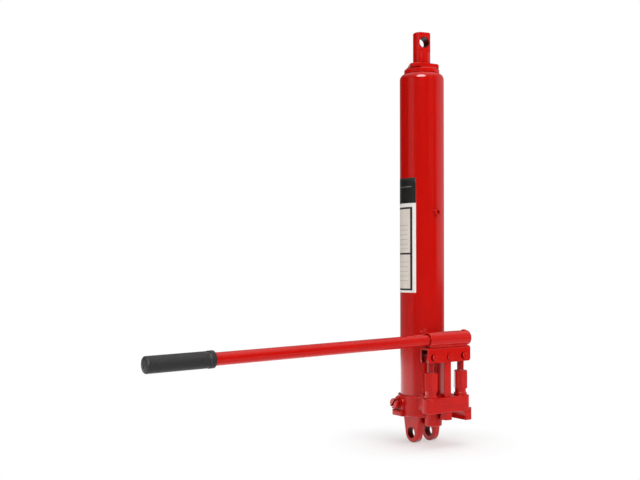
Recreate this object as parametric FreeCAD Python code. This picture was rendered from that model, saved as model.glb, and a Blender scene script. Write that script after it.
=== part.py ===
import FreeCAD, Part
import math
import os

# Long hydraulic ram with a two-plunger hand pump on its base.
# Millimetres. The origin is the centre of the base clevis bore, +Z runs up the ram,
# +X runs along the clevis bore, the pump stands on the -Y side and the handle points to -X.

V = FreeCAD.Vector
X_AXIS = V(1, 0, 0)
Y_AXIS = V(0, 1, 0)
Z_AXIS = V(0, 0, 1)

# Clearances
FIT = 0.1               # round pieces that sit in each other and don't move
RUN = 0.05              # running fit of a moving round piece, on the radius
SEAT = 0.3              # gap between a moving piece and the face that it rests on

# Base clevis
CLEVIS_BORE_R = 8.0
EAR_R = 15.0
EAR_IN = 12.0           # half of the slot between the ears
EAR_T = 10.0
EAR_FLARE_Y = 20.0      # half width of the ears where they meet the collar
SLOT_TOP_Z = 11.0
CLEVIS_EDGE_R = 3.5

# Base casting
COLLAR_R = 36.5
COLLAR_BOT_Z = 26.0
COLLAR_TOP_Z = 57.0
CYL_SEAT_Z = 26.5
TANK_SEAT_Z = 50.5
PUMP_X = 29.0
PUMP_Y = -52.5
LOBE_R = 12.8
LOBE_BOT_Z = 37.0
LOBE_TOP_Z = 59.0
NECK_X = 26.0           # half width of the casting where the lobe joins the collar
CLEVIS_WEB = 4.0        # how far the clevis runs up into the collar
CAST_TOP_R = 1.2        # rounding of the machined top edges
CAST_LOW_R = 2.5        # rounding of the cast lower edges

# Right-hand leg of the lobe, which holds the relief valve
LEG_X0 = 29.5
LEG_W = 14.0
LEG_Y0 = -63.5
LEG_Y1 = -29.0
LEG_BOT_Z = 22.5
LEG_ARCH_R = 10.0
LEG_CORNER_R = 5.0
LEG_STEP = 3.0          # height of the leg's outer shoulder over the lobe's underside

# Underside boss with the delivery valve
DELIV_X = -5.5
DELIV_Y = -31.0
DELIV_R = 13.0
DELIV_BOT_Z = 13.5

# Release valve
REL_Y = 9.0
REL_Z = 45.0
REL_BOSS_R = 11.0
REL_BOSS_X = 39.0       # distance of the boss face from the ram axis
REL_SHELF_X = 43.0      # distance of the shelf's end from the ram axis
REL_SHELF_Z = 35.0      # top of the shelf under the valve
REL_STEM_R = 4.2
REL_TIP_R = 2.6
REL_GLAND_AF = 14.0
REL_GLAND_T = 3.0
REL_NECK = 2.0
REL_HEAD_R = 7.6
REL_HEAD_T = 5.5
REL_HEAD_EDGE_R = 0.8
REL_SLOT_W = 3.0
REL_SLOT_D = 4.0
REL_SLOT_TURN = 38.0    # turn of the slot from upright towards -Y, degrees
REL_BALL_R = 3.0
REL_RING_R = 0.9
REL_RING_IN = 1.5       # depth of the O-ring groove behind the boss face
REL_TIP_L = 1.5
REL_SEAT_X = 26.0       # distance of the ball seat from the ram axis

# Reservoir tube
TANK_R = 33.0
TANK_WALL = 2.0
TANK_TOP_Z = 538.0
TANK_SHOULDER_R = 9.0
TANK_SEAL_T = 1.5

# Pressure cylinder
CYL_BORE_R = 18.0
CYL_WALL = 4.0
CYL_SEAL_T = 2.0
CYL_ABOVE_TANK = 4.0    # how far the cylinder stands above the tank's top

# Gland nut, rod guide and seals
NUT_R = 26.3
NUT_TOP_R = 25.6
NUT_H = 14.0
NUT_STEP_H = 6.5        # plain lower ring, below the ring with the spanner flats
NUT_GROOVE_H = 2.0
NUT_GROOVE_D = 2.2
NUT_EDGE = 1.0
NUT_FLATS = 3
NUT_FLAT_R = 19.0       # distance of the spanner flats from the ram axis
NUT_FLAT_TURN = 147.0   # direction of the first flat, degrees from +X
GUIDE_FLANGE_T = 2.0
GUIDE_DROP = 5.5
ROD_SEAL_T = 3.4
ROD_SEAL_W = 3.4
WIPER_T = 3.0
WIPER_W = 3.0
WIPER_LIP_H = 0.6
WIPER_LIP_W = 1.2

# Rod and piston
ROD_R = 13.0
EYE_UP = 33.0           # height of the eye's centre over the gland nut
EYE_TOP = 15.0          # from the eye's centre to the top of the rod
EYE_FLAT_DOWN = 15.0    # from the eye's centre to the lower end of the flats
EYE_T = 17.0
EYE_BORE_R = 8.0
EYE_TURN = -12.0        # turn of the eye's bore from -Y towards -X, degrees
EYE_EDGE_R = 2.0
SPIGOT_R = 9.0
PISTON_H = 10.0
CUP_H = 9.0
CUP_LIP_H = 3.0
CUP_LIP_W = 2.0
PISTON_NUT_H = 7.5
PISTON_NUT_AF = 27.0
WEAR_H = 5.0
WEAR_W = 2.0
PISTON_FOOT = 0.5       # gap under the piston nut at the bottom of the stroke

# Oil filler
FILL_Z = 329.0
FILL_BUSH_R = 5.6
FILL_THREAD_R = 4.0
FILL_PROUD = 0.4
FILL_HEAD_R = 5.2
FILL_HEAD_T = 2.8
FILL_HEAD_EDGE_R = 0.8
FILL_WASHER_T = 0.5
FILL_SOCKET_AF = 5.0
FILL_SOCKET_D = 2.2
FILL_BUSH_GAP = 3.0     # gap between the bush and the pressure cylinder

# Pumps
HEX_AF = 18.0
PUMP_TOP_Z = 95.5
HEX_BOT_Z = 69.0
HEX_CHAMFER_H = 1.1
PUMP_NECK_R = 8.3
FLANGE_R = 9.6
FLANGE_T = 3.0
PUMP_SHANK_R = 8.0
PUMP_SHANK_L = 12.0
PLUNGER_R = 5.0
PLUNGER_SEAL_W = 2.0
PLUNGER_SEAL_T = 4.0
PLUNGER_SEAL_DOWN = 4.0
SEAT_RING_T = 0.6
PLUNGER_BOT_Z = 64.0
SUCTION_BALL_R = 2.5

# Fulcrum and rocker
PIVOT_Z = 117.8
POST_X = 13.0
POST_Y = 11.0
POST_OVER_PIVOT = 7.0
POST_EDGE_R = 1.8
POST_CROWN_R = 3.5
POST_STUD_R = 6.0
POST_NUT_AF = 16.0
POST_NUT_T = 12.0
POST_STUD_END_R = 5.0
POST_STUD_IN = 0.5      # how far the stud ends short of its nut's face
ROCKER_HALF = 40.6
ROCKER_OUT_W = 18.0
ROCKER_T = 3.0
ROCKER_TOP_Z = 132.0
ROCKER_BOT_Z = 109.7
ROCKER_CORNER_R = 4.0
ROCKER_BEND_R = 3.5
PIN_R = 4.5
PIN_HEAD_R = 5.05
PIN_HEAD_T = 2.4
PIN_HEAD_EDGE_R = 0.6
PIN_SLOT_PLAY = 0.2
PIN_SLOT_EXTRA = 2.4    # slot length beyond the pin on each side
PIN_TAIL = 2.4
PIN_EYE_R = 7.0
CLIP_T = 1.0
CLIP_W = 2.2
CLIP_GROOVE = 0.7
EYE_BLOCK_X = 14.0
EYE_BLOCK_Y = 11.4

# Handle socket and handle
SOCKET_R = 11.0
SOCKET_BORE_R = 9.25
SOCKET_X0 = -36.5
SOCKET_X1 = 41.0
WELD_R = 3.2
WELD_LIFT = 0.6         # height of the bead's axis over the channel
WELD_SHORT = 4.0        # how far a bead stops short of the channel's ends
RIVET_X = 35.5
RIVET_R = 2.2
RIVET_HEAD_R = 3.4
RIVET_HEAD_T = 1.2
RIVET_HEAD_EDGE_R = 0.9
RIVET_DEPTH = 5.0
HANDLE_R = 8.5
HANDLE_WALL = 1.5
HANDLE_CHAMFER = 0.6
HANDLE_OUT = 441.0      # length of handle outside the socket
HANDLE_PLAY = 0.2       # gap at the two points where the handle leans on its socket
GRIP_L = 93.5
GRIP_WALL = 2.25
GRIP_END = 3.0
GRIP_BAND_L = 7.0
GRIP_BAND_H = 0.6
GRIP_VENT_R = 2.0
GRIP_EDGE_R = 1.2

# Small valve pieces
DELIV_BALL_R = 4.0
DELIV_SEAT_DROP = 19.0  # from the lobe's top face down to the delivery ball's seat
DELIV_PLUG_L = 6.0
DELIV_SOCKET_AF = 5.0
DELIV_SOCKET_D = 2.5
RELIEF_BALL_R = 2.5
RELIEF_SCREW_L = 5.0
RELIEF_SCREW_IN = 1.0   # depth of the screw in its bore
RELIEF_SLOT_W = 1.2
RELIEF_SLOT_D = 1.4
SPRING_WIRE = 0.9
SPRING_TURNS = 3.5
PORT_R = 1.5
FILTER_GAP = 0.7        # gap between a strainer and the walls beside it
FILTER_H = 3.0
FILTER_WALL = 0.8
FILTER_TURN = 32.0      # direction of the strainers from -Y, degrees

# Derived places
NUT_TOP_Z = TANK_TOP_Z + NUT_H
EYE_Z = NUT_TOP_Z + EYE_UP
CYL_R = CYL_BORE_R + CYL_WALL
CYL_TOP_Z = TANK_TOP_Z + CYL_ABOVE_TANK
CYL_BOT_Z = CYL_SEAT_Z + CYL_SEAL_T
GUIDE_BOT_Z = CYL_TOP_Z - GUIDE_DROP
NUT_ROOF_Z = CYL_TOP_Z + GUIDE_FLANGE_T + FIT
PISTON_NUT_Z = CYL_BOT_Z + PISTON_FOOT
CUP_Z = PISTON_NUT_Z + PISTON_NUT_H
PISTON_Z = CUP_Z + CUP_H
ROD_SHOULDER_Z = PISTON_Z + PISTON_H
ROD_TOP_Z = EYE_Z + EYE_TOP
CHEEK_Y = ROCKER_OUT_W / 2
CHEEK_IN_Y = CHEEK_Y - ROCKER_T
SOCKET_Z = ROCKER_TOP_Z + SOCKET_R
HANDLE_IN_X = RIVET_X - RIVET_R - SEAT
HANDLE_LEAN = SOCKET_BORE_R - HANDLE_R - HANDLE_PLAY
HANDLE_TILT = math.atan(2 * HANDLE_LEAN / (HANDLE_IN_X - SOCKET_X0))
PUMP_SHANK_BOT_Z = LOBE_TOP_Z - PUMP_SHANK_L
SUCTION_CELL_R = SUCTION_BALL_R + 1.0
SUCTION_CELL_Z = PUMP_SHANK_BOT_Z - 2 * SUCTION_BALL_R - 1.0
SUCTION_SEAT_Z = SUCTION_CELL_Z - 1.0
DELIV_SEAT_Z = LOBE_TOP_Z - DELIV_SEAT_DROP
DELIV_BORE_R = DELIV_BALL_R + 1.0
RELIEF_X = LEG_X0 + LEG_W / 2
RELIEF_Y = (LEG_Y0 + LEG_Y1) / 2
RELIEF_BORE_R = RELIEF_BALL_R + 1.0
RELIEF_SEAT_Z = LOBE_BOT_Z + LEG_STEP - 0.5
PRESSURE_Z = PUMP_SHANK_BOT_Z - PORT_R - 0.5
ANNULUS_R = (CYL_R + TANK_R - TANK_WALL) / 2
FILTER_R = (TANK_R - TANK_WALL - CYL_R) / 2 - FILTER_GAP
FILL_BUSH_Y = -CYL_R - FILL_BUSH_GAP
FOOT_PORT_Z = CYL_BOT_Z + 2 * PORT_R
PACKING_Z = PUMP_TOP_Z - PLUNGER_SEAL_DOWN - PLUNGER_SEAL_T
ROD_SEAL_Z = NUT_ROOF_Z + 1.0


def rod(radius, z0, z1, x=0.0, y=0.0):
    """Upright round bar from z0 to z1."""
    return Part.makeCylinder(radius, z1 - z0, V(x, y, z0), Z_AXIS)


def ring(outer, inner, z0, z1, x=0.0, y=0.0):
    """Upright ring from z0 to z1."""
    return rod(outer, z0, z1, x, y).cut(rod(inner, z0 - 1, z1 + 1, x, y))


def bar_x(radius, x0, x1, y, z):
    """Round bar along X."""
    return Part.makeCylinder(radius, x1 - x0, V(x0, y, z), X_AXIS)


def bar_y(radius, y0, y1, x, z):
    """Round bar along Y."""
    return Part.makeCylinder(radius, y1 - y0, V(x, y0, z), Y_AXIS)


def block(x0, x1, y0, y1, z0, z1):
    """Box between two corners."""
    return Part.makeBox(x1 - x0, y1 - y0, z1 - z0, V(x0, y0, z0))


def drill(start, end, radius):
    """Round drilling between two points."""
    way = end.sub(start)
    return Part.makeCylinder(radius, way.Length, start, way)


def hexagon(flats, length, place, direction):
    """Hexagonal prism with the given width across flats."""
    corner = flats / 2 / math.cos(math.pi / 6)
    points = [V(corner * math.cos(k * math.pi / 3), corner * math.sin(k * math.pi / 3), 0)
              for k in range(7)]
    prism = Part.Face(Part.makePolygon(points)).extrude(V(0, 0, length))
    prism.Placement = FreeCAD.Placement(place, FreeCAD.Rotation(Z_AXIS, direction))
    return prism


def outline(runs):
    """Flat face from (start, via, end) runs: a line, or an arc through the point via."""
    edges = []
    for start, via, end in runs:
        if via is None:
            edges.append(Part.LineSegment(start, end).toShape())
        else:
            edges.append(Part.Arc(start, via, end).toShape())
    return Part.Face(Part.Wire(edges))


def turned(profile):
    """Solid of revolution about Z from (radius, z) points."""
    points = [V(r, 0, z) for r, z in profile]
    points.append(points[0])
    return Part.Face(Part.makePolygon(points)).revolve(V(0, 0, 0), Z_AXIS, 360)


def edges_along(shape, direction, test):
    """Straight edges of a shape along a direction whose centre passes a test."""
    chosen = []
    for edge in shape.Edges:
        if len(edge.Vertexes) != 2:
            continue
        way = edge.Vertexes[1].Point.sub(edge.Vertexes[0].Point)
        straight = abs(way.Length - edge.Length) < 1e-6
        if straight and way.cross(direction).Length < 1e-6 * edge.Length and test(edge.CenterOfMass):
            chosen.append(edge)
    return chosen


def rounded(shape, radius, test):
    """Shape with the edges rounded whose centre passes a test."""
    return shape.makeFillet(radius, [e for e in shape.Edges if test(e.CenterOfMass)])


def level(z):
    """Test for points at a height."""
    return lambda c: abs(c.z - z) < 1e-4


def across_x(x):
    """Test for points in a plane square to X."""
    return lambda c: abs(c.x - x) < 1e-4


def across_y(y):
    """Test for points in a plane square to Y."""
    return lambda c: abs(c.y - y) < 1e-4


def group(shapes):
    """Several separate solids kept as one node."""
    return Part.makeCompound(shapes)


def save(name, shape):
    """Write one node."""
    shape.exportStep("parts/%s.step" % name)


# Base casting
def clevis():
    """Two flared ears and the web that joins them, with the cross bore."""
    flare_z = COLLAR_BOT_Z
    half = EAR_IN + EAR_T
    lean = math.atan2(EAR_FLARE_Y, flare_z)
    reach = math.hypot(EAR_FLARE_Y, flare_z)
    touch = lean + math.acos(EAR_R / reach)
    tangent = V(-half, EAR_R * math.sin(touch), EAR_R * math.cos(touch))
    mirrored = V(-half, -tangent.y, tangent.z)
    top_z = flare_z + CLEVIS_WEB
    top_right = V(-half, EAR_FLARE_Y, top_z)
    top_left = V(-half, -EAR_FLARE_Y, top_z)
    face = outline([
        (mirrored, V(-half, 0, -EAR_R), tangent),
        (tangent, None, V(-half, EAR_FLARE_Y, flare_z)),
        (V(-half, EAR_FLARE_Y, flare_z), None, top_right),
        (top_right, None, top_left),
        (top_left, None, V(-half, -EAR_FLARE_Y, flare_z)),
        (V(-half, -EAR_FLARE_Y, flare_z), None, mirrored),
    ])
    body = face.extrude(V(2 * half, 0, 0))
    slot = block(-EAR_IN, EAR_IN, -2 * EAR_R, 2 * EAR_R, -2 * EAR_R, SLOT_TOP_Z)
    body = body.cut(slot)
    outer = [e for e in body.Edges if abs(abs(e.CenterOfMass.x) - half) < 1e-6
             and e.CenterOfMass.z < flare_z - 1]
    body = body.makeFillet(CLEVIS_EDGE_R, outer)
    return body.cut(bar_x(CLEVIS_BORE_R, -half - 1, half + 1, 0, 0))


def lobe():
    """Pump lobe: rounded ends about both pumps, necked back to the collar."""
    y0 = PUMP_Y - LOBE_R
    y1 = PUMP_Y + LOBE_R
    z = LOBE_BOT_Z
    left = V(-PUMP_X, y0, z)
    right = V(PUMP_X, y0, z)
    face = outline([
        (left, None, right),
        (right, V(PUMP_X + LOBE_R, PUMP_Y, z), V(PUMP_X, y1, z)),
        (V(PUMP_X, y1, z), None, V(NECK_X, 0, z)),
        (V(NECK_X, 0, z), None, V(-NECK_X, 0, z)),
        (V(-NECK_X, 0, z), None, V(-PUMP_X, y1, z)),
        (V(-PUMP_X, y1, z), V(-PUMP_X - LOBE_R, PUMP_Y, z), left),
    ])
    body = face.extrude(V(0, 0, LOBE_TOP_Z - LOBE_BOT_Z))
    body = rounded(body, CAST_TOP_R, level(LOBE_TOP_Z))
    return rounded(body, CAST_TOP_R, level(LOBE_BOT_Z))


def leg():
    """Leg under the right-hand pump, with an arch on its inner side."""
    x1 = LEG_X0 + LEG_W
    top_z = LOBE_BOT_Z + LEG_STEP
    arch_x = LEG_X0 - LEG_ARCH_R
    arch_z = LOBE_BOT_Z - LEG_ARCH_R
    mid = LEG_ARCH_R * (1 - math.sqrt(0.5))
    y = LEG_Y0
    face = outline([
        (V(arch_x, y, top_z), None, V(arch_x, y, LOBE_BOT_Z)),
        (V(arch_x, y, LOBE_BOT_Z), V(LEG_X0 - mid, y, LOBE_BOT_Z - mid), V(LEG_X0, y, arch_z)),
        (V(LEG_X0, y, arch_z), None, V(LEG_X0, y, LEG_BOT_Z)),
        (V(LEG_X0, y, LEG_BOT_Z), None, V(x1, y, LEG_BOT_Z)),
        (V(x1, y, LEG_BOT_Z), None, V(x1, y, top_z)),
        (V(x1, y, top_z), None, V(arch_x, y, top_z)),
    ])
    body = face.extrude(V(0, LEG_Y1 - LEG_Y0, 0))
    corner = edges_along(body, Z_AXIS, lambda c: c.x > x1 - 1)
    return body.makeFillet(LEG_CORNER_R, corner)


def release_boss():
    """Boss round the release valve on a square foot, with a shelf below the valve."""
    x0 = -REL_BOSS_X
    y0 = REL_Y - REL_BOSS_R
    y1 = REL_Y + REL_BOSS_R
    low = V(x0, y0, COLLAR_BOT_Z)
    side = V(x0, y0, REL_Z)
    far = V(x0, y1, REL_Z)
    foot = V(x0, y1, COLLAR_BOT_Z)
    face = outline([
        (low, None, side),
        (side, V(x0, REL_Y, REL_Z + REL_BOSS_R), far),
        (far, None, foot),
        (foot, None, low),
    ])
    boss = face.extrude(V(REL_BOSS_X - CYL_R - 2, 0, 0))
    boss = boss.makeFillet(CAST_TOP_R, [e for e in boss.Edges if across_x(x0)(e.CenterOfMass)
                                        and e.CenterOfMass.z > REL_Z])
    shelf = block(-REL_SHELF_X, -CYL_R - 2, y0, y1, COLLAR_BOT_Z, REL_SHELF_Z)
    return boss.fuse(rounded(shelf, CAST_LOW_R, across_x(-REL_SHELF_X)))


def base_block():
    """One casting: collar, clevis, pump lobe, leg and valve bosses, with its bores."""
    collar = rounded(rod(COLLAR_R, COLLAR_BOT_Z, COLLAR_TOP_Z), CAST_TOP_R, level(COLLAR_TOP_Z))
    collar = rounded(collar, CAST_LOW_R, level(COLLAR_BOT_Z))
    boss = rod(DELIV_R, DELIV_BOT_Z, LOBE_BOT_Z + CAST_LOW_R, DELIV_X, DELIV_Y)
    boss = rounded(boss, CAST_LOW_R, level(DELIV_BOT_Z))
    body = collar.fuse([clevis(), lobe(), leg(), release_boss(), boss]).removeSplitter()
    bores = [
        rod(CYL_R + FIT, CYL_SEAT_Z, COLLAR_TOP_Z + 9),
        rod(TANK_R + FIT, TANK_SEAT_Z, COLLAR_TOP_Z + 9),
        rod(POST_STUD_R + FIT, LOBE_BOT_Z - 9, LOBE_TOP_Z + 1, 0, PUMP_Y),
    ]
    for side in (-1, 1):
        x = side * PUMP_X
        bores.append(rod(PUMP_SHANK_R + FIT, PUMP_SHANK_BOT_Z, LOBE_TOP_Z + 9, x, PUMP_Y))
        bores.append(rod(SUCTION_CELL_R, SUCTION_CELL_Z - FIT, PUMP_SHANK_BOT_Z + 1, x, PUMP_Y))
        bores.append(Part.makeCone(PORT_R, SUCTION_BALL_R, SUCTION_CELL_Z - SUCTION_SEAT_Z,
                                   V(x, PUMP_Y, SUCTION_SEAT_Z)))
        bores.append(drill(V(x, PUMP_Y, PRESSURE_Z), V(DELIV_X, DELIV_Y, PRESSURE_Z), PORT_R))
        bores.append(rod(PORT_R, SUCTION_SEAT_Z - 2.0, SUCTION_SEAT_Z + 0.5, x, PUMP_Y))
        start = V(x, PUMP_Y, SUCTION_SEAT_Z - 0.5)
        bores.append(drill(start, strainer_place(side) + V(0, 0, 1), PORT_R))
    bores += release_bores() + delivery_bores() + relief_bores() + foot_ports()
    for bore in bores:
        body = body.cut(bore)
    return body


def release_bores():
    """Release valve: stem bore, ball cell, seat drilling and a way back to the tank."""
    stem = bar_x(REL_STEM_R + RUN, -REL_BOSS_X - 9, -REL_SEAT_X - 2 * REL_BALL_R, REL_Y, REL_Z)
    cell = bar_x(REL_BALL_R + FIT, -REL_SEAT_X - 3 * REL_BALL_R, -REL_SEAT_X, REL_Y, REL_Z)
    port = bar_x(PORT_R, -REL_SEAT_X - 1, 2 * PORT_R - REL_SEAT_X, REL_Y, REL_Z)
    back = drill(V(-REL_SEAT_X - REL_BALL_R, REL_Y, REL_Z), V(-ANNULUS_R, REL_Y, TANK_SEAT_Z + 1), PORT_R)
    return [stem, cell, port, back]


def delivery_bores():
    """Delivery valve: bore from the underside boss and its seat."""
    bore = rod(DELIV_BORE_R, DELIV_BOT_Z - 1, DELIV_SEAT_Z, DELIV_X, DELIV_Y)
    seat = rod(PORT_R, DELIV_SEAT_Z - 1, PRESSURE_Z, DELIV_X, DELIV_Y)
    return [bore, seat]


def foot_ports():
    """Drillings from the delivery and release valves into the cylinder's foot."""
    x = PORT_R - REL_SEAT_X
    return [
        bar_y(PORT_R, DELIV_Y, -CYL_BORE_R / 2, DELIV_X, FOOT_PORT_Z),
        rod(PORT_R, FOOT_PORT_Z, REL_Z, x, REL_Y),
        bar_x(PORT_R, x, -CYL_BORE_R / 2, REL_Y, FOOT_PORT_Z),
    ]


def strainer_place(side):
    """Centre of a strainer on the tank's floor."""
    turn = math.radians(FILTER_TURN)
    return V(side * ANNULUS_R * math.sin(turn), -ANNULUS_R * math.cos(turn), TANK_SEAT_Z)


def relief_bores():
    """Relief valve: bore from the leg's foot and a drilling to the delivery line."""
    bore = rod(RELIEF_BORE_R, LEG_BOT_Z - 1, RELIEF_SEAT_Z, RELIEF_X, RELIEF_Y)
    seat = rod(PORT_R, RELIEF_SEAT_Z - 1, PRESSURE_Z, RELIEF_X, RELIEF_Y)
    port = drill(V(RELIEF_X, RELIEF_Y, PRESSURE_Z), V(PUMP_X, PUMP_Y, PRESSURE_Z), PORT_R)
    return [bore, seat, port]


# Reservoir, pressure cylinder and top closure
def reservoir_tube():
    """Drawn tube with a rounded shoulder and a hole for the cylinder's head."""
    bottom = TANK_SEAT_Z + TANK_SEAL_T
    inner_r = TANK_R - TANK_WALL
    hole_r = CYL_R + FIT
    outer_arc = min(TANK_SHOULDER_R, TANK_R - hole_r - TANK_SEAL_T)
    inner_arc = outer_arc - TANK_WALL
    arc_z = TANK_TOP_Z - outer_arc
    flat_r = TANK_R - outer_arc
    s = math.sqrt(0.5)
    roof = TANK_TOP_Z - TANK_WALL
    face = outline([
        (V(TANK_R, 0, bottom), None, V(TANK_R, 0, arc_z)),
        (V(TANK_R, 0, arc_z), V(flat_r + outer_arc * s, 0, arc_z + outer_arc * s),
         V(flat_r, 0, TANK_TOP_Z)),
        (V(flat_r, 0, TANK_TOP_Z), None, V(hole_r, 0, TANK_TOP_Z)),
        (V(hole_r, 0, TANK_TOP_Z), None, V(hole_r, 0, roof)),
        (V(hole_r, 0, roof), None, V(flat_r, 0, roof)),
        (V(flat_r, 0, roof), V(flat_r + inner_arc * s, 0, arc_z + inner_arc * s),
         V(inner_r, 0, arc_z)),
        (V(inner_r, 0, arc_z), None, V(inner_r, 0, bottom)),
        (V(inner_r, 0, bottom), None, V(TANK_R, 0, bottom)),
    ])
    tube = face.revolve(V(0, 0, 0), Z_AXIS, 360)
    return tube.cut(bar_y(FILL_BUSH_R + FIT, -TANK_R - 9, -CYL_R - 1, 0, FILL_Z))


def pressure_cylinder():
    """Honed cylinder with two ports at its foot."""
    return ring(CYL_R, CYL_BORE_R, CYL_BOT_Z, CYL_TOP_Z).cut(foot_ports())


def gland_nut():
    """Round nut with spanner flats on its upper ring, clamps the tank on the cylinder."""
    seal_r = CYL_R + FIT + TANK_SEAL_T
    step_z = TANK_TOP_Z + NUT_STEP_H
    upper_z = step_z + NUT_GROOVE_H
    groove_r = NUT_TOP_R - NUT_GROOVE_D
    body = turned([
        (CYL_R + FIT, TANK_TOP_Z + TANK_SEAL_T / 2 + FIT),
        (seal_r, TANK_TOP_Z + TANK_SEAL_T / 2 + FIT),
        (seal_r, TANK_TOP_Z),
        (NUT_R, TANK_TOP_Z),
        (NUT_R, step_z - NUT_EDGE),
        (NUT_R - NUT_EDGE, step_z),
        (groove_r, step_z),
        (groove_r, upper_z),
        (NUT_TOP_R, upper_z),
        (NUT_TOP_R, NUT_TOP_Z - NUT_EDGE),
        (NUT_TOP_R - NUT_EDGE, NUT_TOP_Z),
        (ROD_R + WIPER_W + FIT, NUT_TOP_Z),
        (ROD_R + WIPER_W + FIT, NUT_TOP_Z - WIPER_T - FIT),
        (ROD_R + SEAT, NUT_TOP_Z - WIPER_T - FIT),
        (ROD_R + SEAT, ROD_SEAL_Z + ROD_SEAL_T),
        (ROD_R + ROD_SEAL_W + FIT, ROD_SEAL_Z + ROD_SEAL_T),
        (ROD_R + ROD_SEAL_W + FIT, NUT_ROOF_Z),
        (CYL_R + FIT, NUT_ROOF_Z),
    ])
    for k in range(NUT_FLATS):
        flat = block(NUT_FLAT_R, NUT_TOP_R + 1, -NUT_TOP_R, NUT_TOP_R, upper_z, NUT_TOP_Z + 1)
        flat.rotate(V(0, 0, 0), Z_AXIS, NUT_FLAT_TURN + 360.0 * k / NUT_FLATS)
        body = body.cut(flat)
    return body


def rod_guide():
    """Flanged guide ring in the cylinder's mouth."""
    sleeve = ring(CYL_BORE_R - FIT, ROD_R + RUN, GUIDE_BOT_Z, CYL_TOP_Z)
    flange = ring(CYL_R, ROD_R + RUN, CYL_TOP_Z, CYL_TOP_Z + GUIDE_FLANGE_T)
    return sleeve.fuse(flange).removeSplitter()


def rod_wiper():
    """Wiper with a lip that narrows to the rod."""
    z0 = NUT_TOP_Z - WIPER_T
    return turned([
        (ROD_R + RUN, z0),
        (ROD_R + WIPER_W, z0),
        (ROD_R + WIPER_W, NUT_TOP_Z - WIPER_LIP_H),
        (ROD_R + WIPER_LIP_W, NUT_TOP_Z + WIPER_LIP_H),
        (ROD_R + RUN, NUT_TOP_Z + WIPER_LIP_H),
    ])


def piston_rod():
    """Round rod with a spigot for the piston and a flattened, cross-bored eye."""
    body = rounded(rod(ROD_R, ROD_SHOULDER_Z, ROD_TOP_Z), EYE_EDGE_R, level(ROD_TOP_Z))
    body = body.fuse(rod(SPIGOT_R, PISTON_NUT_Z + 0.5, ROD_SHOULDER_Z)).removeSplitter()
    flat_z = EYE_Z - EYE_FLAT_DOWN
    for side in (-1, 1):
        flat = block(-2 * ROD_R, 2 * ROD_R, EYE_T / 2, 2 * ROD_R, flat_z, ROD_TOP_Z + 1)
        if side < 0:
            flat.rotate(V(0, 0, 0), Z_AXIS, 180)
        flat.rotate(V(0, 0, 0), Z_AXIS, EYE_TURN)
        body = body.cut(flat)
    bore = bar_y(EYE_BORE_R, -2 * ROD_R, 2 * ROD_R, 0, EYE_Z)
    bore.rotate(V(0, 0, 0), Z_AXIS, EYE_TURN)
    return body.cut(bore)


def piston_head():
    """Piston with a groove for its wear ring."""
    groove_z = PISTON_Z + (PISTON_H - WEAR_H) / 2 - RUN
    top_z = groove_z + WEAR_H + 2 * RUN
    skin = CYL_BORE_R - SEAT
    return turned([
        (SPIGOT_R + FIT, PISTON_Z),
        (skin, PISTON_Z),
        (skin, groove_z),
        (skin - WEAR_W, groove_z),
        (skin - WEAR_W, top_z),
        (skin, top_z),
        (skin, ROD_SHOULDER_Z),
        (SPIGOT_R + FIT, ROD_SHOULDER_Z),
    ])


def piston_wear_ring():
    """Guide ring round the piston."""
    z0 = PISTON_Z + (PISTON_H - WEAR_H) / 2
    return ring(CYL_BORE_R - RUN, CYL_BORE_R - SEAT - WEAR_W + RUN, z0, z0 + WEAR_H)


def piston_cup_seal():
    """Cup seal with its lip towards the pressure."""
    z0 = CUP_Z + RUN
    z1 = PISTON_Z - RUN
    lip_in = CYL_BORE_R - CUP_LIP_W
    return turned([
        (SPIGOT_R + RUN, z0),
        (lip_in - CUP_LIP_W - CUP_LIP_H, z0),
        (lip_in - CUP_LIP_W, z0 + CUP_LIP_H),
        (lip_in, z0),
        (CYL_BORE_R - RUN, z0),
        (CYL_BORE_R - RUN, z1),
        (SPIGOT_R + RUN, z1),
    ])


def piston_nut():
    """Hexagon nut that holds the piston on the rod."""
    nut = hexagon(PISTON_NUT_AF, PISTON_NUT_H, V(0, 0, PISTON_NUT_Z), Z_AXIS)
    return nut.cut(rod(SPIGOT_R + FIT, PISTON_NUT_Z - 1, CUP_Z + 1))


# Oil filler
def filler_bush():
    """Threaded bush welded into the tube's wall."""
    y0 = -TANK_R - FILL_PROUD
    return bar_y(FILL_BUSH_R, y0, FILL_BUSH_Y, 0, FILL_Z).cut(
        bar_y(FILL_THREAD_R + FIT, y0 - 1, FILL_BUSH_Y + 1, 0, FILL_Z))


def filler_plug():
    """Round-headed plug with a hexagon socket."""
    face_y = -TANK_R - FILL_PROUD - FILL_WASHER_T
    head = bar_y(FILL_HEAD_R, face_y - FILL_HEAD_T, face_y, 0, FILL_Z)
    head = rounded(head, FILL_HEAD_EDGE_R, across_y(face_y - FILL_HEAD_T))
    shank = bar_y(FILL_THREAD_R, face_y, FILL_BUSH_Y - 1, 0, FILL_Z)
    socket = hexagon(FILL_SOCKET_AF, FILL_SOCKET_D + 1, V(0, face_y - FILL_HEAD_T - 1, FILL_Z), Y_AXIS)
    return head.fuse(shank).cut(socket)


def filler_washer():
    """Sealing washer under the plug's head."""
    y1 = -TANK_R - FILL_PROUD
    return bar_y(FILL_HEAD_R, y1 - FILL_WASHER_T, y1, 0, FILL_Z).cut(
        bar_y(FILL_THREAD_R + FIT, y1 - 2, y1 + 1, 0, FILL_Z))


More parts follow.
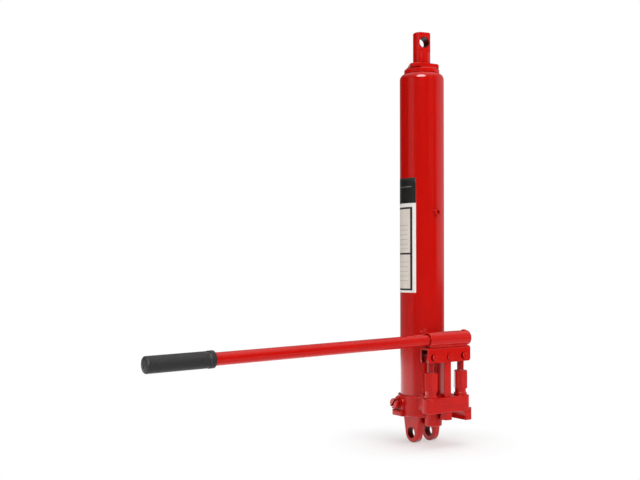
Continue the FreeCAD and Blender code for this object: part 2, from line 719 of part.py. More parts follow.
# Pumps
def pump_cylinder(x):
    """Hexagonal pump cylinder with a necked foot, flange and threaded shank."""
    corner = HEX_AF / 2 / math.cos(math.pi / 6)
    shoulder_z = PUMP_TOP_Z - HEX_CHAMFER_H
    blank = rod(corner, HEX_BOT_Z, shoulder_z, x, PUMP_Y).fuse(
        Part.makeCone(corner, HEX_AF / 2 - SEAT, HEX_CHAMFER_H, V(x, PUMP_Y, shoulder_z)))
    body = hexagon(HEX_AF, PUMP_TOP_Z - HEX_BOT_Z, V(x, PUMP_Y, HEX_BOT_Z), Z_AXIS).common(blank)
    flange_z = LOBE_TOP_Z + SEAT_RING_T
    body = body.fuse([
        rod(PUMP_NECK_R, flange_z, HEX_BOT_Z + 1, x, PUMP_Y),
        rod(FLANGE_R, flange_z, flange_z + FLANGE_T, x, PUMP_Y),
        rod(PUMP_SHANK_R, PUMP_SHANK_BOT_Z, flange_z, x, PUMP_Y),
    ]).removeSplitter()
    body = body.cut(rod(PLUNGER_R + RUN, PUMP_SHANK_BOT_Z - 1, PUMP_TOP_Z + 1, x, PUMP_Y))
    groove_r = PLUNGER_R + PLUNGER_SEAL_W + FIT
    return body.cut(rod(groove_r, PACKING_Z - FIT, PACKING_Z + PLUNGER_SEAL_T + FIT, x, PUMP_Y))


def plunger_seals():
    """One packing ring in each pump cylinder."""
    return group([ring(PLUNGER_R + PLUNGER_SEAL_W, PLUNGER_R + RUN, PACKING_Z, PACKING_Z + PLUNGER_SEAL_T,
                       side * PUMP_X, PUMP_Y) for side in (-1, 1)])


def pump_seat_rings():
    """Sealing ring under each pump's flange."""
    return group([ring(FLANGE_R, PUMP_SHANK_R + FIT, LOBE_TOP_Z, LOBE_TOP_Z + SEAT_RING_T,
                       side * PUMP_X, PUMP_Y) for side in (-1, 1)])


def plunger(x):
    """Round plunger with a flat-sided eye for its cross pin."""
    body = rod(PLUNGER_R, PLUNGER_BOT_Z, PIVOT_Z, x, PUMP_Y)
    half_y = EYE_BLOCK_Y / 2
    eye = bar_y(PIN_EYE_R, PUMP_Y - half_y, PUMP_Y + half_y, x, PIVOT_Z)
    eye = eye.fuse(block(x - PIN_EYE_R, x + PIN_EYE_R, PUMP_Y - half_y, PUMP_Y + half_y,
                         ROCKER_BOT_Z + 1, PIVOT_Z))
    return body.fuse(eye).removeSplitter().cut(
        bar_y(PIN_R + FIT, PUMP_Y - 2 * half_y, PUMP_Y + 2 * half_y, x, PIVOT_Z))


def cross_pin(x):
    """Headed pin across the rocker, grooved for its clip."""
    head_y = PUMP_Y - CHEEK_Y - SEAT
    tail_y = PUMP_Y + CHEEK_Y + PIN_TAIL
    pin = bar_y(PIN_R, head_y, tail_y, x, PIVOT_Z)
    head = bar_y(PIN_HEAD_R, head_y - PIN_HEAD_T, head_y, x, PIVOT_Z)
    head = rounded(head, PIN_HEAD_EDGE_R, across_y(head_y - PIN_HEAD_T))
    groove_y = PUMP_Y + CHEEK_Y + SEAT
    groove = bar_y(PIN_R + 1, groove_y, groove_y + CLIP_T, x, PIVOT_Z).cut(
        bar_y(PIN_R - CLIP_GROOVE, groove_y - 1, groove_y + CLIP_T + 1, x, PIVOT_Z))
    return pin.fuse(head).cut(groove)


def pin_clip(x):
    """Open spring clip in the groove of a cross pin."""
    y0 = PUMP_Y + CHEEK_Y + SEAT
    clip = bar_y(PIN_R + CLIP_W, y0, y0 + CLIP_T, x, PIVOT_Z)
    clip = clip.cut(bar_y(PIN_R - CLIP_GROOVE + FIT, y0 - 1, y0 + CLIP_T + 1, x, PIVOT_Z))
    mouth = block(x - PIN_R / 2, x + PIN_R / 2, y0 - 1, y0 + CLIP_T + 1,
                  PIVOT_Z - PIN_R - CLIP_W - 1, PIVOT_Z)
    return clip.cut(mouth)


# Fulcrum and rocker
def fulcrum_post():
    """Rounded flat post with a stud through the lobe."""
    half_x = POST_X / 2
    half_y = POST_Y / 2
    top_z = PIVOT_Z + POST_OVER_PIVOT
    body = block(-half_x, half_x, PUMP_Y - half_y, PUMP_Y + half_y, LOBE_TOP_Z, top_z)
    uprights = edges_along(body, Z_AXIS, lambda c: True)
    body = body.makeFillet(POST_EDGE_R, uprights)
    body = body.makeFillet(POST_CROWN_R, edges_along(body, Y_AXIS, level(top_z)))
    stud = rod(POST_STUD_R, LOBE_BOT_Z, LOBE_TOP_Z, 0, PUMP_Y)
    end = rod(POST_STUD_END_R, LOBE_BOT_Z - POST_NUT_T + POST_STUD_IN, LOBE_BOT_Z, 0, PUMP_Y)
    body = body.fuse([stud, end]).removeSplitter()
    return body.cut(bar_y(PIN_R + FIT, PUMP_Y - POST_Y, PUMP_Y + POST_Y, 0, PIVOT_Z))


def fulcrum_nut():
    """Nut under the lobe that holds the post."""
    z0 = LOBE_BOT_Z - POST_NUT_T
    nut = hexagon(POST_NUT_AF, POST_NUT_T, V(0, PUMP_Y, z0), Z_AXIS)
    return nut.cut(rod(POST_STUD_END_R + FIT, z0 - 1, LOBE_BOT_Z + 1, 0, PUMP_Y))


def rocker_channel():
    """Pressed channel, open below, with a round hole between two slots."""
    x1 = ROCKER_HALF
    body = block(-x1, x1, PUMP_Y - CHEEK_Y, PUMP_Y + CHEEK_Y, ROCKER_BOT_Z, ROCKER_TOP_Z)
    bends = edges_along(body, X_AXIS, level(ROCKER_TOP_Z))
    body = body.makeFillet(ROCKER_BEND_R, bends)
    inside = block(-x1 - 1, x1 + 1, PUMP_Y - CHEEK_IN_Y, PUMP_Y + CHEEK_IN_Y,
                   ROCKER_BOT_Z - 1, ROCKER_TOP_Z - ROCKER_T)
    body = body.cut(inside)
    low = edges_along(body, Y_AXIS, level(ROCKER_BOT_Z))
    body = body.makeFillet(ROCKER_CORNER_R, low)
    y0 = PUMP_Y - CHEEK_Y - 1
    y1 = PUMP_Y + CHEEK_Y + 1
    slot_r = PIN_R + PIN_SLOT_PLAY
    body = body.cut(bar_y(PIN_R + RUN, y0, y1, 0, PIVOT_Z))
    for side in (-1, 1):
        middle = side * PUMP_X
        slot = block(middle - PIN_SLOT_EXTRA, middle + PIN_SLOT_EXTRA, y0, y1,
                     PIVOT_Z - slot_r, PIVOT_Z + slot_r)
        ends = [bar_y(slot_r, y0, y1, middle + end * PIN_SLOT_EXTRA, PIVOT_Z) for end in (-1, 1)]
        body = body.cut(slot.fuse(ends))
    return body


def handle_socket():
    """Socket tube that lies on the channel."""
    tube = bar_x(SOCKET_R, SOCKET_X0, SOCKET_X1, PUMP_Y, SOCKET_Z)
    tube = tube.cut(bar_x(SOCKET_BORE_R, SOCKET_X0 - 1, SOCKET_X1 + 1, PUMP_Y, SOCKET_Z))
    return tube.cut(rod(RIVET_R + FIT, SOCKET_Z, SOCKET_Z + 2 * SOCKET_R, RIVET_X, PUMP_Y))


def socket_welds():
    """Two fillet welds between the socket tube and the channel."""
    x0 = WELD_SHORT - ROCKER_HALF
    x1 = ROCKER_HALF - WELD_SHORT
    beads = []
    for side in (-1, 1):
        y = PUMP_Y + side * (CHEEK_Y - ROCKER_BEND_R)
        bead = bar_x(WELD_R, x0, x1, y, ROCKER_TOP_Z + WELD_LIFT)
        keep = block(x0 - 1, x1 + 1, y - 2 * WELD_R, y + 2 * WELD_R, ROCKER_TOP_Z, SOCKET_Z)
        bead = bead.common(keep)
        beads.append(bead.cut(bar_x(SOCKET_R, x0 - 1, x1 + 1, PUMP_Y, SOCKET_Z)))
    return group(beads)


def handle_stop_rivet():
    """Rivet through the socket's roof that stops the handle."""
    seat_z = SOCKET_Z + SOCKET_R
    shank = rod(RIVET_R, seat_z - RIVET_DEPTH, seat_z, RIVET_X, PUMP_Y)
    head = rod(RIVET_HEAD_R, seat_z, seat_z + RIVET_HEAD_T, RIVET_X, PUMP_Y)
    head = rounded(head, RIVET_HEAD_EDGE_R, level(seat_z + RIVET_HEAD_T))
    under = rod(RIVET_HEAD_R, seat_z - RIVET_HEAD_T, seat_z, RIVET_X, PUMP_Y)
    under = under.cut(bar_x(SOCKET_R, SOCKET_X0, SOCKET_X1, PUMP_Y, SOCKET_Z))
    return shank.fuse([head, under]).removeSplitter()


def handle_frame(shape):
    """Tilt a handle piece about the middle of its seat in the socket."""
    middle = (SOCKET_X0 + HANDLE_IN_X) / 2
    shape.rotate(V(middle, PUMP_Y, SOCKET_Z), Y_AXIS, -math.degrees(HANDLE_TILT))
    return shape


def handle_tube():
    """Steel tube with a chamfered inner end."""
    x0 = SOCKET_X0 - HANDLE_OUT + GRIP_END
    tube = bar_x(HANDLE_R, x0, HANDLE_IN_X, PUMP_Y, SOCKET_Z)
    at_end = across_x(HANDLE_IN_X)
    tube = tube.makeChamfer(HANDLE_CHAMFER, [e for e in tube.Edges if at_end(e.CenterOfMass)])
    bore = bar_x(HANDLE_R - HANDLE_WALL, x0 - 1, HANDLE_IN_X + 1, PUMP_Y, SOCKET_Z)
    return handle_frame(tube.cut(bore))


def handle_grip():
    """Moulded sleeve, closed at its outer end, with a band at the inner end."""
    x0 = SOCKET_X0 - HANDLE_OUT
    outer = HANDLE_R + GRIP_WALL
    grip = bar_x(outer, x0, x0 + GRIP_L, PUMP_Y, SOCKET_Z)
    band = bar_x(outer + GRIP_BAND_H, x0 + GRIP_L - GRIP_BAND_L, x0 + GRIP_L, PUMP_Y, SOCKET_Z)
    grip = grip.fuse(band).removeSplitter()
    for end_x in (x0, x0 + GRIP_L):
        grip = rounded(grip, GRIP_EDGE_R, across_x(end_x))
    grip = grip.cut(bar_x(HANDLE_R + FIT, x0 + GRIP_END, x0 + GRIP_L + 1, PUMP_Y, SOCKET_Z))
    return handle_frame(grip.cut(bar_x(GRIP_VENT_R, x0 - 1, x0 + GRIP_END + 1, PUMP_Y, SOCKET_Z)))


# Release valve
def release_screw():
    """Valve screw with a slotted round head and an O-ring groove."""
    face = -REL_BOSS_X
    gland = face - REL_GLAND_T
    head_in = gland - REL_NECK
    head_out = head_in - REL_HEAD_T
    tip = -REL_SEAT_X - 2 * REL_BALL_R - FIT
    stem_end = tip - REL_TIP_L
    body = bar_x(REL_STEM_R, head_in, stem_end, REL_Y, REL_Z)
    body = body.fuse(bar_x(REL_TIP_R, stem_end, tip, REL_Y, REL_Z))
    head = bar_x(REL_HEAD_R, head_out, head_in, REL_Y, REL_Z)
    head = rounded(head, REL_HEAD_EDGE_R, across_x(head_out))
    slot = block(head_out - 1, head_out + REL_SLOT_D, REL_Y - REL_SLOT_W / 2, REL_Y + REL_SLOT_W / 2,
                 REL_Z - 2 * REL_HEAD_R, REL_Z + 2 * REL_HEAD_R)
    slot.rotate(V(0, REL_Y, REL_Z), X_AXIS, REL_SLOT_TURN)
    body = body.fuse(head.cut(slot)).removeSplitter()
    groove_x = face + REL_RING_IN
    groove = bar_x(REL_STEM_R + 1, groove_x, groove_x + 2 * REL_RING_R + 2 * RUN, REL_Y, REL_Z)
    groove = groove.cut(bar_x(REL_STEM_R - REL_RING_R - RUN, groove_x - 1,
                              groove_x + 2 * REL_RING_R + 2, REL_Y, REL_Z))
    return body.cut(groove)


def release_o_ring():
    """Ring in the groove of the valve screw."""
    x0 = -REL_BOSS_X + REL_RING_IN + RUN
    x1 = x0 + 2 * REL_RING_R
    outer = bar_x(REL_STEM_R, x0, x1, REL_Y, REL_Z)
    return outer.cut(bar_x(REL_STEM_R - REL_RING_R, x0 - 1, x1 + 1, REL_Y, REL_Z))


def release_gland():
    """Hexagon gland against the boss that keeps the screw in."""
    x0 = -REL_BOSS_X - REL_GLAND_T
    nut = hexagon(REL_GLAND_AF, REL_GLAND_T, V(x0, REL_Y, REL_Z), X_AXIS)
    return nut.cut(bar_x(REL_STEM_R + RUN, x0 - 1, -REL_BOSS_X + 1, REL_Y, REL_Z))


def ball(radius, x, y, z):
    """Steel ball."""
    return Part.makeSphere(radius, V(x, y, z))


def coil(x, y, z0, z1, radius):
    """Helical spring of square wire between two heights."""
    half = SPRING_WIRE / 2
    rise = z1 - z0 - SPRING_WIRE
    helix = Part.makeHelix(rise / SPRING_TURNS, rise, radius)
    corners = [V(radius - half, 0, -half), V(radius + half, 0, -half),
               V(radius + half, 0, half), V(radius - half, 0, half)]
    section = Part.makePolygon(corners + corners[:1])
    spring = Part.Wire(helix.Edges).makePipeShell([section], True, True)
    spring.translate(V(x, y, z0 + half))
    return spring


# Delivery and relief valves
def delivery_pieces():
    """Ball, spring and plug of the delivery valve."""
    ball_z = DELIV_SEAT_Z - DELIV_BALL_R - FIT
    plug_top = DELIV_BOT_Z + DELIV_PLUG_L
    spring = coil(DELIV_X, DELIV_Y, plug_top, ball_z - DELIV_BALL_R + 0.3, DELIV_BALL_R - 1.4)
    plug = rod(DELIV_BORE_R - FIT, DELIV_BOT_Z, plug_top, DELIV_X, DELIV_Y)
    socket = hexagon(DELIV_SOCKET_AF, DELIV_SOCKET_D + 1, V(DELIV_X, DELIV_Y, DELIV_BOT_Z - 1), Z_AXIS)
    plug = plug.cut(socket)
    return ball(DELIV_BALL_R, DELIV_X, DELIV_Y, ball_z), spring, plug


def relief_pieces():
    """Ball, spring and screw of the relief valve."""
    x = RELIEF_X
    y = RELIEF_Y
    ball_z = RELIEF_SEAT_Z - RELIEF_BALL_R - FIT
    screw_z = LEG_BOT_Z + RELIEF_SCREW_IN
    screw_top = screw_z + RELIEF_SCREW_L
    spring = coil(x, y, screw_top, ball_z - RELIEF_BALL_R + 0.2, RELIEF_BALL_R - 0.9)
    half = RELIEF_SLOT_W / 2
    slot = block(x - RELIEF_BORE_R, x + RELIEF_BORE_R, y - half, y + half, LEG_BOT_Z, screw_z + RELIEF_SLOT_D)
    screw = rod(RELIEF_BORE_R - FIT, screw_z, screw_top, x, y).cut(slot)
    return ball(RELIEF_BALL_R, x, y, ball_z), spring, screw


def suction_balls():
    """Suction ball under each pump."""
    z = SUCTION_SEAT_Z + math.sqrt(SUCTION_BALL_R ** 2 - PORT_R ** 2) + FIT
    return group([ball(SUCTION_BALL_R, side * PUMP_X, PUMP_Y, z) for side in (-1, 1)])


def suction_strainers():
    """Strainer caps on the tank's floor over the suction drillings."""
    caps = []
    inner = FILTER_R - FILTER_WALL
    top_z = TANK_SEAT_Z + FILTER_H
    for side in (-1, 1):
        place = strainer_place(side)
        cap = rod(FILTER_R, TANK_SEAT_Z, top_z, place.x, place.y)
        caps.append(cap.cut(rod(inner, TANK_SEAT_Z - 1, top_z - FILTER_WALL, place.x, place.y)))
    return group(caps)


def main():
    os.makedirs("parts", exist_ok=True)
    save("base_block", base_block())
    save("reservoir_tube", reservoir_tube())
    save("pressure_cylinder", pressure_cylinder())
    save("gland_nut", gland_nut())
    save("rod_guide", rod_guide())
    seal_z = ROD_SEAL_Z - FIT
    save("rod_seal", ring(ROD_R + ROD_SEAL_W, ROD_R + RUN, seal_z, seal_z + ROD_SEAL_T))
    save("rod_wiper", rod_wiper())
    save("tank_top_seal", ring(CYL_R + TANK_SEAL_T, CYL_R + FIT, TANK_TOP_Z,
                               TANK_TOP_Z + TANK_SEAL_T / 2))
    save("tank_bottom_seal", ring(TANK_R, TANK_R - TANK_WALL, TANK_SEAT_Z,
                                  TANK_SEAT_Z + TANK_SEAL_T))
    save("cylinder_foot_seal", ring(CYL_R, CYL_BORE_R, CYL_SEAT_Z, CYL_BOT_Z))
    save("piston_rod", piston_rod())
    save("piston_head", piston_head())
    save("piston_wear_ring", piston_wear_ring())
    save("piston_cup_seal", piston_cup_seal())
    save("piston_nut", piston_nut())
    save("filler_bush", filler_bush())
    save("filler_plug", filler_plug())
    save("filler_washer", filler_washer())
    for name, side in (("left", -1), ("right", 1)):
        save("pump_cylinder_" + name, pump_cylinder(side * PUMP_X))
        save("plunger_" + name, plunger(side * PUMP_X))
        save("plunger_pin_" + name, cross_pin(side * PUMP_X))
        save("plunger_clip_" + name, pin_clip(side * PUMP_X))
    save("plunger_seals", plunger_seals())
    save("pump_seat_rings", pump_seat_rings())
    save("fulcrum_post", fulcrum_post())
    save("fulcrum_nut", fulcrum_nut())
    save("fulcrum_pin", cross_pin(0))
    save("fulcrum_clip", pin_clip(0))
    save("rocker_channel", rocker_channel())
    save("handle_socket", handle_socket())
    save("socket_welds", socket_welds())
    save("handle_stop_rivet", handle_stop_rivet())
    save("handle_tube", handle_tube())
    save("handle_grip", handle_grip())
    save("release_screw", release_screw())
    save("release_o_ring", release_o_ring())
    save("release_gland", release_gland())
    save("release_ball", ball(REL_BALL_R, -REL_SEAT_X - REL_BALL_R, REL_Y, REL_Z))
    delivery_ball, delivery_spring, delivery_plug = delivery_pieces()
    save("delivery_ball", delivery_ball)
    save("delivery_spring", delivery_spring)
    save("delivery_plug", delivery_plug)
    relief_ball, relief_spring, relief_screw = relief_pieces()
    save("relief_ball", relief_ball)
    save("relief_spring", relief_spring)
    save("relief_screw", relief_screw)
    save("suction_balls", suction_balls())
    save("suction_strainers", suction_strainers())


main()
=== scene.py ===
"""Paint, label, weld beads, grip and studio for a long hydraulic ram with a hand pump."""

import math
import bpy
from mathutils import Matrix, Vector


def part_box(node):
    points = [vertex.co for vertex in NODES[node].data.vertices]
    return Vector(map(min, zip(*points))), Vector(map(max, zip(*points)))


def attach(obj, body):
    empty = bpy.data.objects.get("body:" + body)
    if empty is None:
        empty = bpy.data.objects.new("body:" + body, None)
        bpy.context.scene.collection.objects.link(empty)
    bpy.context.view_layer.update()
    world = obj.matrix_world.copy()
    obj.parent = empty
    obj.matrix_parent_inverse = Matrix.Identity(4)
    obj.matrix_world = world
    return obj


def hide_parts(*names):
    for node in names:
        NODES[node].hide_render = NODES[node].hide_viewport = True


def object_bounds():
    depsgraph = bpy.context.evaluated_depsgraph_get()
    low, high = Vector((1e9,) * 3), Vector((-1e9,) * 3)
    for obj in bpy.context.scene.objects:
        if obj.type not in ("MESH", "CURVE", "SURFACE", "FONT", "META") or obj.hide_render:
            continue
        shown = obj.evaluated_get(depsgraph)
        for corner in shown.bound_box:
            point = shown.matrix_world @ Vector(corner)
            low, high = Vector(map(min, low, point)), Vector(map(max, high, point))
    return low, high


bl_info = {
    "name": "Hydraulic ram dressing",
    "version": (1, 0, 0),
    "blender": (4, 5, 0),
    "location": "View3D > Sidebar > Ram",
    "description": "Finishes, label, weld beads, grip and stage of a long hydraulic ram",
    "category": "3D View",
}

import bpy
from bpy.props import FloatProperty, FloatVectorProperty, IntProperty, PointerProperty
from mathutils import Matrix, Vector, noise

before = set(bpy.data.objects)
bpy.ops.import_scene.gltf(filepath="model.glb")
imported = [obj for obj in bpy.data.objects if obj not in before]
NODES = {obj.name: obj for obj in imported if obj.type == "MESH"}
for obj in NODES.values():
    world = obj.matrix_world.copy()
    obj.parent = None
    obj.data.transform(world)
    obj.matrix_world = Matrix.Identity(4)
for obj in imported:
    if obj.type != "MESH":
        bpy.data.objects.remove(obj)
CAD_LOW, CAD_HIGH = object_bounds()


def middle(node):
    """Centre of a CAD node's box."""
    low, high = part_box(node)
    return (low + high) / 2


# Places read from the CAD nodes, in metres
TANK_LOW, TANK_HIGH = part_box("reservoir_tube")
TANK_R = (TANK_HIGH.x - TANK_LOW.x) / 2
SOCKET_LOW, SOCKET_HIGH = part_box("handle_socket")
SOCKET_Z = (SOCKET_LOW.z + SOCKET_HIGH.z) / 2
SOCKET_R = (SOCKET_HIGH.z - SOCKET_LOW.z) / 2
CHANNEL_LOW, CHANNEL_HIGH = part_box("rocker_channel")
CHANNEL_WALL = 0.003
CHANNEL_INNER = (CHANNEL_HIGH.y - CHANNEL_LOW.y) / 2 - CHANNEL_WALL
CHANNEL_ROOF = CHANNEL_HIGH.z - CHANNEL_WALL
PUMP_Y = middle("rocker_channel").y
GRIP_LOW, GRIP_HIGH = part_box("handle_grip")
CLOSED_ROD_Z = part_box("rod_wiper")[1].z
CLOSED_PLUNGER_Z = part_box("pump_cylinder_left")[1].z

# Pin bores of the clevis and of the rod's eye; shade is painted on their walls
BORE_R = 0.008
EYE_DOWN = 0.015
EYE_TURN = math.radians(12)
EYE_BORE = ((0, 0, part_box("piston_rod")[1].z - EYE_DOWN),
            (math.sin(EYE_TURN), math.cos(EYE_TURN), 0), BORE_R)
CLEVIS_BORE = ((0, 0, 0), (1, 0, 0), BORE_R)


def colour(name, description, rgb):
    """A colour setting in scene-linear values."""
    return FloatVectorProperty(name=name, description=description, default=rgb, size=3,
                               min=0, max=1, subtype="COLOR")


def length(name, description, metres):
    """A length setting."""
    return FloatProperty(name=name, description=description, default=metres,
                         min=0, precision=5, unit="LENGTH", subtype="DISTANCE")


def angle(name, description, degrees):
    """An angle setting, given here in degrees."""
    return FloatProperty(name=name, description=description, default=math.radians(degrees),
                         subtype="ANGLE")


def factor(name, description, value, top=1.0):
    """A plain setting from 0 to top."""
    return FloatProperty(name=name, description=description, default=value, min=0, max=top)


def count(name, description, number, low, high):
    """A whole number."""
    return IntProperty(name=name, description=description, default=number, min=low, max=high)


def power(name, description, watts):
    """A lamp's power."""
    return FloatProperty(name=name, description=description, default=watts, min=0, unit="POWER")


class PaintLook(bpy.types.PropertyGroup):
    """Gloss paint on the steel and on the casting."""
    red: colour("Paint", "Colour of the gloss paint", (0.57, 0.0055, 0.003))
    edge_red: colour("Paint on edges", "Thinner paint along edges", (0.68, 0.035, 0.025))
    # Painted shade: dark red put on the walls of bores and inside the channel, where shade falls
    painted_shade_red: colour("Painted shade in bores", "Dark red painted as shade in bores and the channel", (0.10, 0.004, 0.003))
    dust: colour("Dusty paint", "Paint where dust lies on it", (0.60, 0.10, 0.08))
    dust_amount: factor("Dust", "How much dust lies on faces that look up", 0.12)
    # Painted shade: how far the paint darkens in corners, where shade falls
    corner_shade: factor("Painted shade", "How much the paint darkens in corners", 0.85)
    rub: factor("Edge rub", "How much the edges show the thinner paint", 0.55)
    gloss: factor("Gloss", "How strongly the smooth paint mirrors", 0.5)
    cast_gloss: factor("Gloss on castings", "How strongly their paint mirrors", 0.36)
    roughness: factor("Roughness", "Roughness of the smooth paint", 0.12)
    cast_roughness: factor("Roughness on castings", "Roughness of the paint on the casting", 0.3)
    peel: length("Orange peel", "Height of the paint's fine waves", 0.00002)
    cast_depth: length("Cast skin", "Depth of the casting's grain under the paint", 0.0001)
    mill_depth: length("Milling marks", "Depth of the milling marks under the paint", 0.00004)
    edge_radius: length("Edge radius", "Radius over which the paint softens an edge", 0.0006)


class SteelLook(bpy.types.PropertyGroup):
    """Bare metals that the paint doesn't cover."""
    ground: colour("Ground steel", "Colour of the ground rod and plungers", (0.56, 0.565, 0.57))
    machined: colour("Machined iron", "Colour of the turned iron pieces", (0.30, 0.30, 0.31))
    brass: colour("Brass", "Colour of the strainers", (0.66, 0.47, 0.20))
    roughness: factor("Roughness", "Roughness of the ground steel", 0.22)
    ground_depth: length("Grinding marks", "Depth of the marks on the ground rod", 0.000008)
    turned_depth: length("Turning marks", "Depth of the marks on turned pieces", 0.00002)


class RubberLook(bpy.types.PropertyGroup):
    """Grip and seals."""
    grip: colour("Grip", "Colour of the moulded grip", (0.025, 0.0235, 0.0245))
    seal: colour("Seals", "Colour of the seals", (0.018, 0.018, 0.019))
    plastic: colour("Wear ring", "Colour of the piston's wear ring", (0.55, 0.52, 0.43))
    roughness: factor("Roughness", "Roughness of the grip", 0.52)
    dust_amount: factor("Dust", "How much dust lies on faces that look up", 0.25)


class GripSizes(bpy.types.PropertyGroup):
    """Moulded grip on the handle."""
    band: length("Band", "Length of the band at the inner end", 0.0085)
    groove: length("Groove", "Depth of the groove beside the band", 0.0004)
    crown: length("End crown", "How far the end face bulges", 0.0008)
    edge: length("Edge", "Rounding of the outer end", 0.0022)
    vent: length("Vent", "Radius of the vent in the end face", 0.002)
    wall: length("Wall", "Wall of the grip round the handle", 0.00215)
    end: length("End wall", "Thickness of the closed end", 0.0032)
    proud: length("Band height", "How far the band stands over the grip", 0.0006)
    steps: count("Steps", "Faces round the grip", 72, 12, 240)


class LabelSizes(bpy.types.PropertyGroup):
    """Printed sheet on the tank, with nothing written on it."""
    bottom: length("Bottom", "Height of the lower edge", 0.2096)
    top: length("Top", "Height of the upper edge", 0.380)
    header: length("Header", "Height of the dark field at the top", 0.0375)
    header_line: length("Header line", "Distance of the pale line from the upper edge", 0.0129)
    header_rule: length("Header line height", "Height of the pale line", 0.0006)
    right_turn: angle("Right edge", "Turn of the right edge from the pump side", 56)
    wrap: angle("Wrap", "How far the sheet goes round the tank", 122)
    slant: angle("Slant", "How far the sheet is off level", 0.5)
    margin: length("Margin", "White margin outside the frame line", 0.0058)
    line: length("Frame line", "Width of the frame's upright lines", 0.0037)
    level_line: length("Level line", "Height of the frame's level lines", 0.0027)
    rule: length("Ruled line", "Height of a thin ruled line", 0.0005)
    rule_pitch: length("Ruled line pitch", "Distance from one ruled line to the next", 0.0070)
    rule_inset: length("Ruled line inset", "Distance of the ruled lines from the frame", 0.004)
    low_rules: count("Lower lines", "Ruled lines below the divider", 5, 0, 40)
    high_rules: count("Upper lines", "Ruled lines above the divider", 6, 0, 40)
    divider: length("Divider", "Height of the line across the field over the lower edge", 0.0566)
    film: length("Film", "Thickness of the sheet", 0.00015)
    paper: colour("Margin colour", "Colour of the margin", (0.86, 0.83, 0.79))
    field: colour("Field colour", "Colour of the printed field", (0.78, 0.71, 0.64))
    ink: colour("Ink", "Colour of the dark print", (0.014, 0.0135, 0.0125))
    grey: colour("Grey lines", "Colour of the thin ruled lines", (0.36, 0.33, 0.30))


class WeldSizes(bpy.types.PropertyGroup):
    """Beads between the socket and the channel."""
    radius: length("Radius", "Radius of a bead", 0.0030)
    pitch: length("Pitch", "Distance from one ripple to the next", 0.0031)
    ripple: factor("Ripple", "Height of a ripple as a share of the radius", 0.16)
    lag: length("Lag", "How far the middle of a ripple trails its ends", 0.0007)
    taper: length("Taper", "Length over which a bead narrows at its ends", 0.0022)


class StageLook(bpy.types.PropertyGroup):
    """Floor, lamps and surroundings."""
    floor: colour("Floor", "Colour of the floor", (0.97, 0.965, 0.96))
    floor_white: factor("Floor's own white", "Share of plain white under the ram", 0.45)
    floor_front: factor("Floor in front", "Its level as the paint mirrors it", 0.4, 4)
    floor_side: factor("Floor behind", "Its level as the paint mirrors it", 1.8, 4)
    surround: factor("Surroundings", "Level of the even light from all round", 0.36, 4)
    key: power("Key lamp", "Power of the lamp in front on the right", 15.5)
    fill: power("Fill lamp", "Power of the lamp on the left", 7.0)
    top: power("Top lamp", "Power of the lamp overhead", 15.0)


# Shader building

def feed(tree, value, socket):
    """Links a socket to an input, or sets the input to a plain value."""
    if isinstance(value, bpy.types.NodeSocket):
        tree.links.new(value, socket)
    elif socket.type == "RGBA" and len(value) == 3:
        socket.default_value = (*value, 1)
    else:
        socket.default_value = value


def feed_all(tree, node, values):
    """Feeds a node's inputs from values by name or number; None leaves an input alone."""
    for key, value in values.items():
        if value is not None:
            feed(tree, value, node.inputs[key])
    return node


def put(tree, kind, label="", **inputs):
    """Adds one labelled node and feeds its inputs by name."""
    node = tree.nodes.new(kind)
    node.label = label
    return feed_all(tree, node, inputs)


def calculation(tree, kind, operation, values):
    """Math or Vector Math node, from sockets or plain values."""
    node = tree.nodes.new(kind)
    node.operation = operation
    return feed_all(tree, node, dict(enumerate(values)))


def maths(tree, operation, *values, clamp=False):
    """Result of a Math node."""
    node = calculation(tree, "ShaderNodeMath", operation, values)
    node.use_clamp = clamp
    return node.outputs[0]


def vectors(tree, operation, *values):
    """Outputs of a Vector Math node."""
    return calculation(tree, "ShaderNodeVectorMath", operation, values).outputs


def split(tree, vector):
    """X, Y and Z of a vector."""
    return put(tree, "ShaderNodeSeparateXYZ", Vector=vector).outputs


def stretch(tree, value, low, high, to_low=0.0, to_high=1.0):
    """Smooth step of a value between two limits."""
    node = tree.nodes.new("ShaderNodeMapRange")
    node.interpolation_type = "SMOOTHSTEP"
    feed_all(tree, node, {"Value": value, "From Min": low, "From Max": high, "To Min": to_low,
                          "To Max": to_high})
    return node.outputs["Result"]


def blended(tree, share, first, second):
    """Mix of two colours by a share."""
    node = tree.nodes.new("ShaderNodeMix")
    node.data_type = "RGBA"
    feed_all(tree, node, {0: share, 6: first, 7: second})
    return node.outputs[2]


def noisy(tree, label, place, scale, detail, **others):
    """Level of a noise texture, from 0 to 1."""
    return put(tree, "ShaderNodeTexNoise", label, Vector=place, Scale=scale, Detail=detail,
               **others).outputs["Fac"]


def bump(tree, height, depth, normal=None):
    """Normal of a surface with this height; depth is in metres."""
    node = put(tree, "ShaderNodeBump", Height=height, Distance=depth, Normal=normal)
    return node.outputs["Normal"]


def shade(tone, share):
    """A colour made darker or lighter."""
    return tuple(min(1.0, part * share) for part in tone)


def new_group(name, inputs, outputs):
    """Shader node group; inputs are numbers with a default, or vectors where they have none."""
    tree = bpy.data.node_groups.new(name, "ShaderNodeTree")
    for label, value in inputs.items():
        kind = "NodeSocketVector" if value is None else "NodeSocketFloat"
        socket = tree.interface.new_socket(label, in_out="INPUT", socket_type=kind)
        if value is not None:
            socket.default_value = value
    for label in outputs:
        kind = "NodeSocketVector" if label == "Normal" else "NodeSocketFloat"
        tree.interface.new_socket(label, in_out="OUTPUT", socket_type=kind)
    return tree, tree.nodes.new("NodeGroupInput").outputs, tree.nodes.new("NodeGroupOutput").inputs


def use(tree, name, **inputs):
    """Outputs of one of the shared groups, placed in a material."""
    node = tree.nodes.new("ShaderNodeGroup")
    node.node_tree = bpy.data.node_groups[name]
    return feed_all(tree, node, inputs).outputs


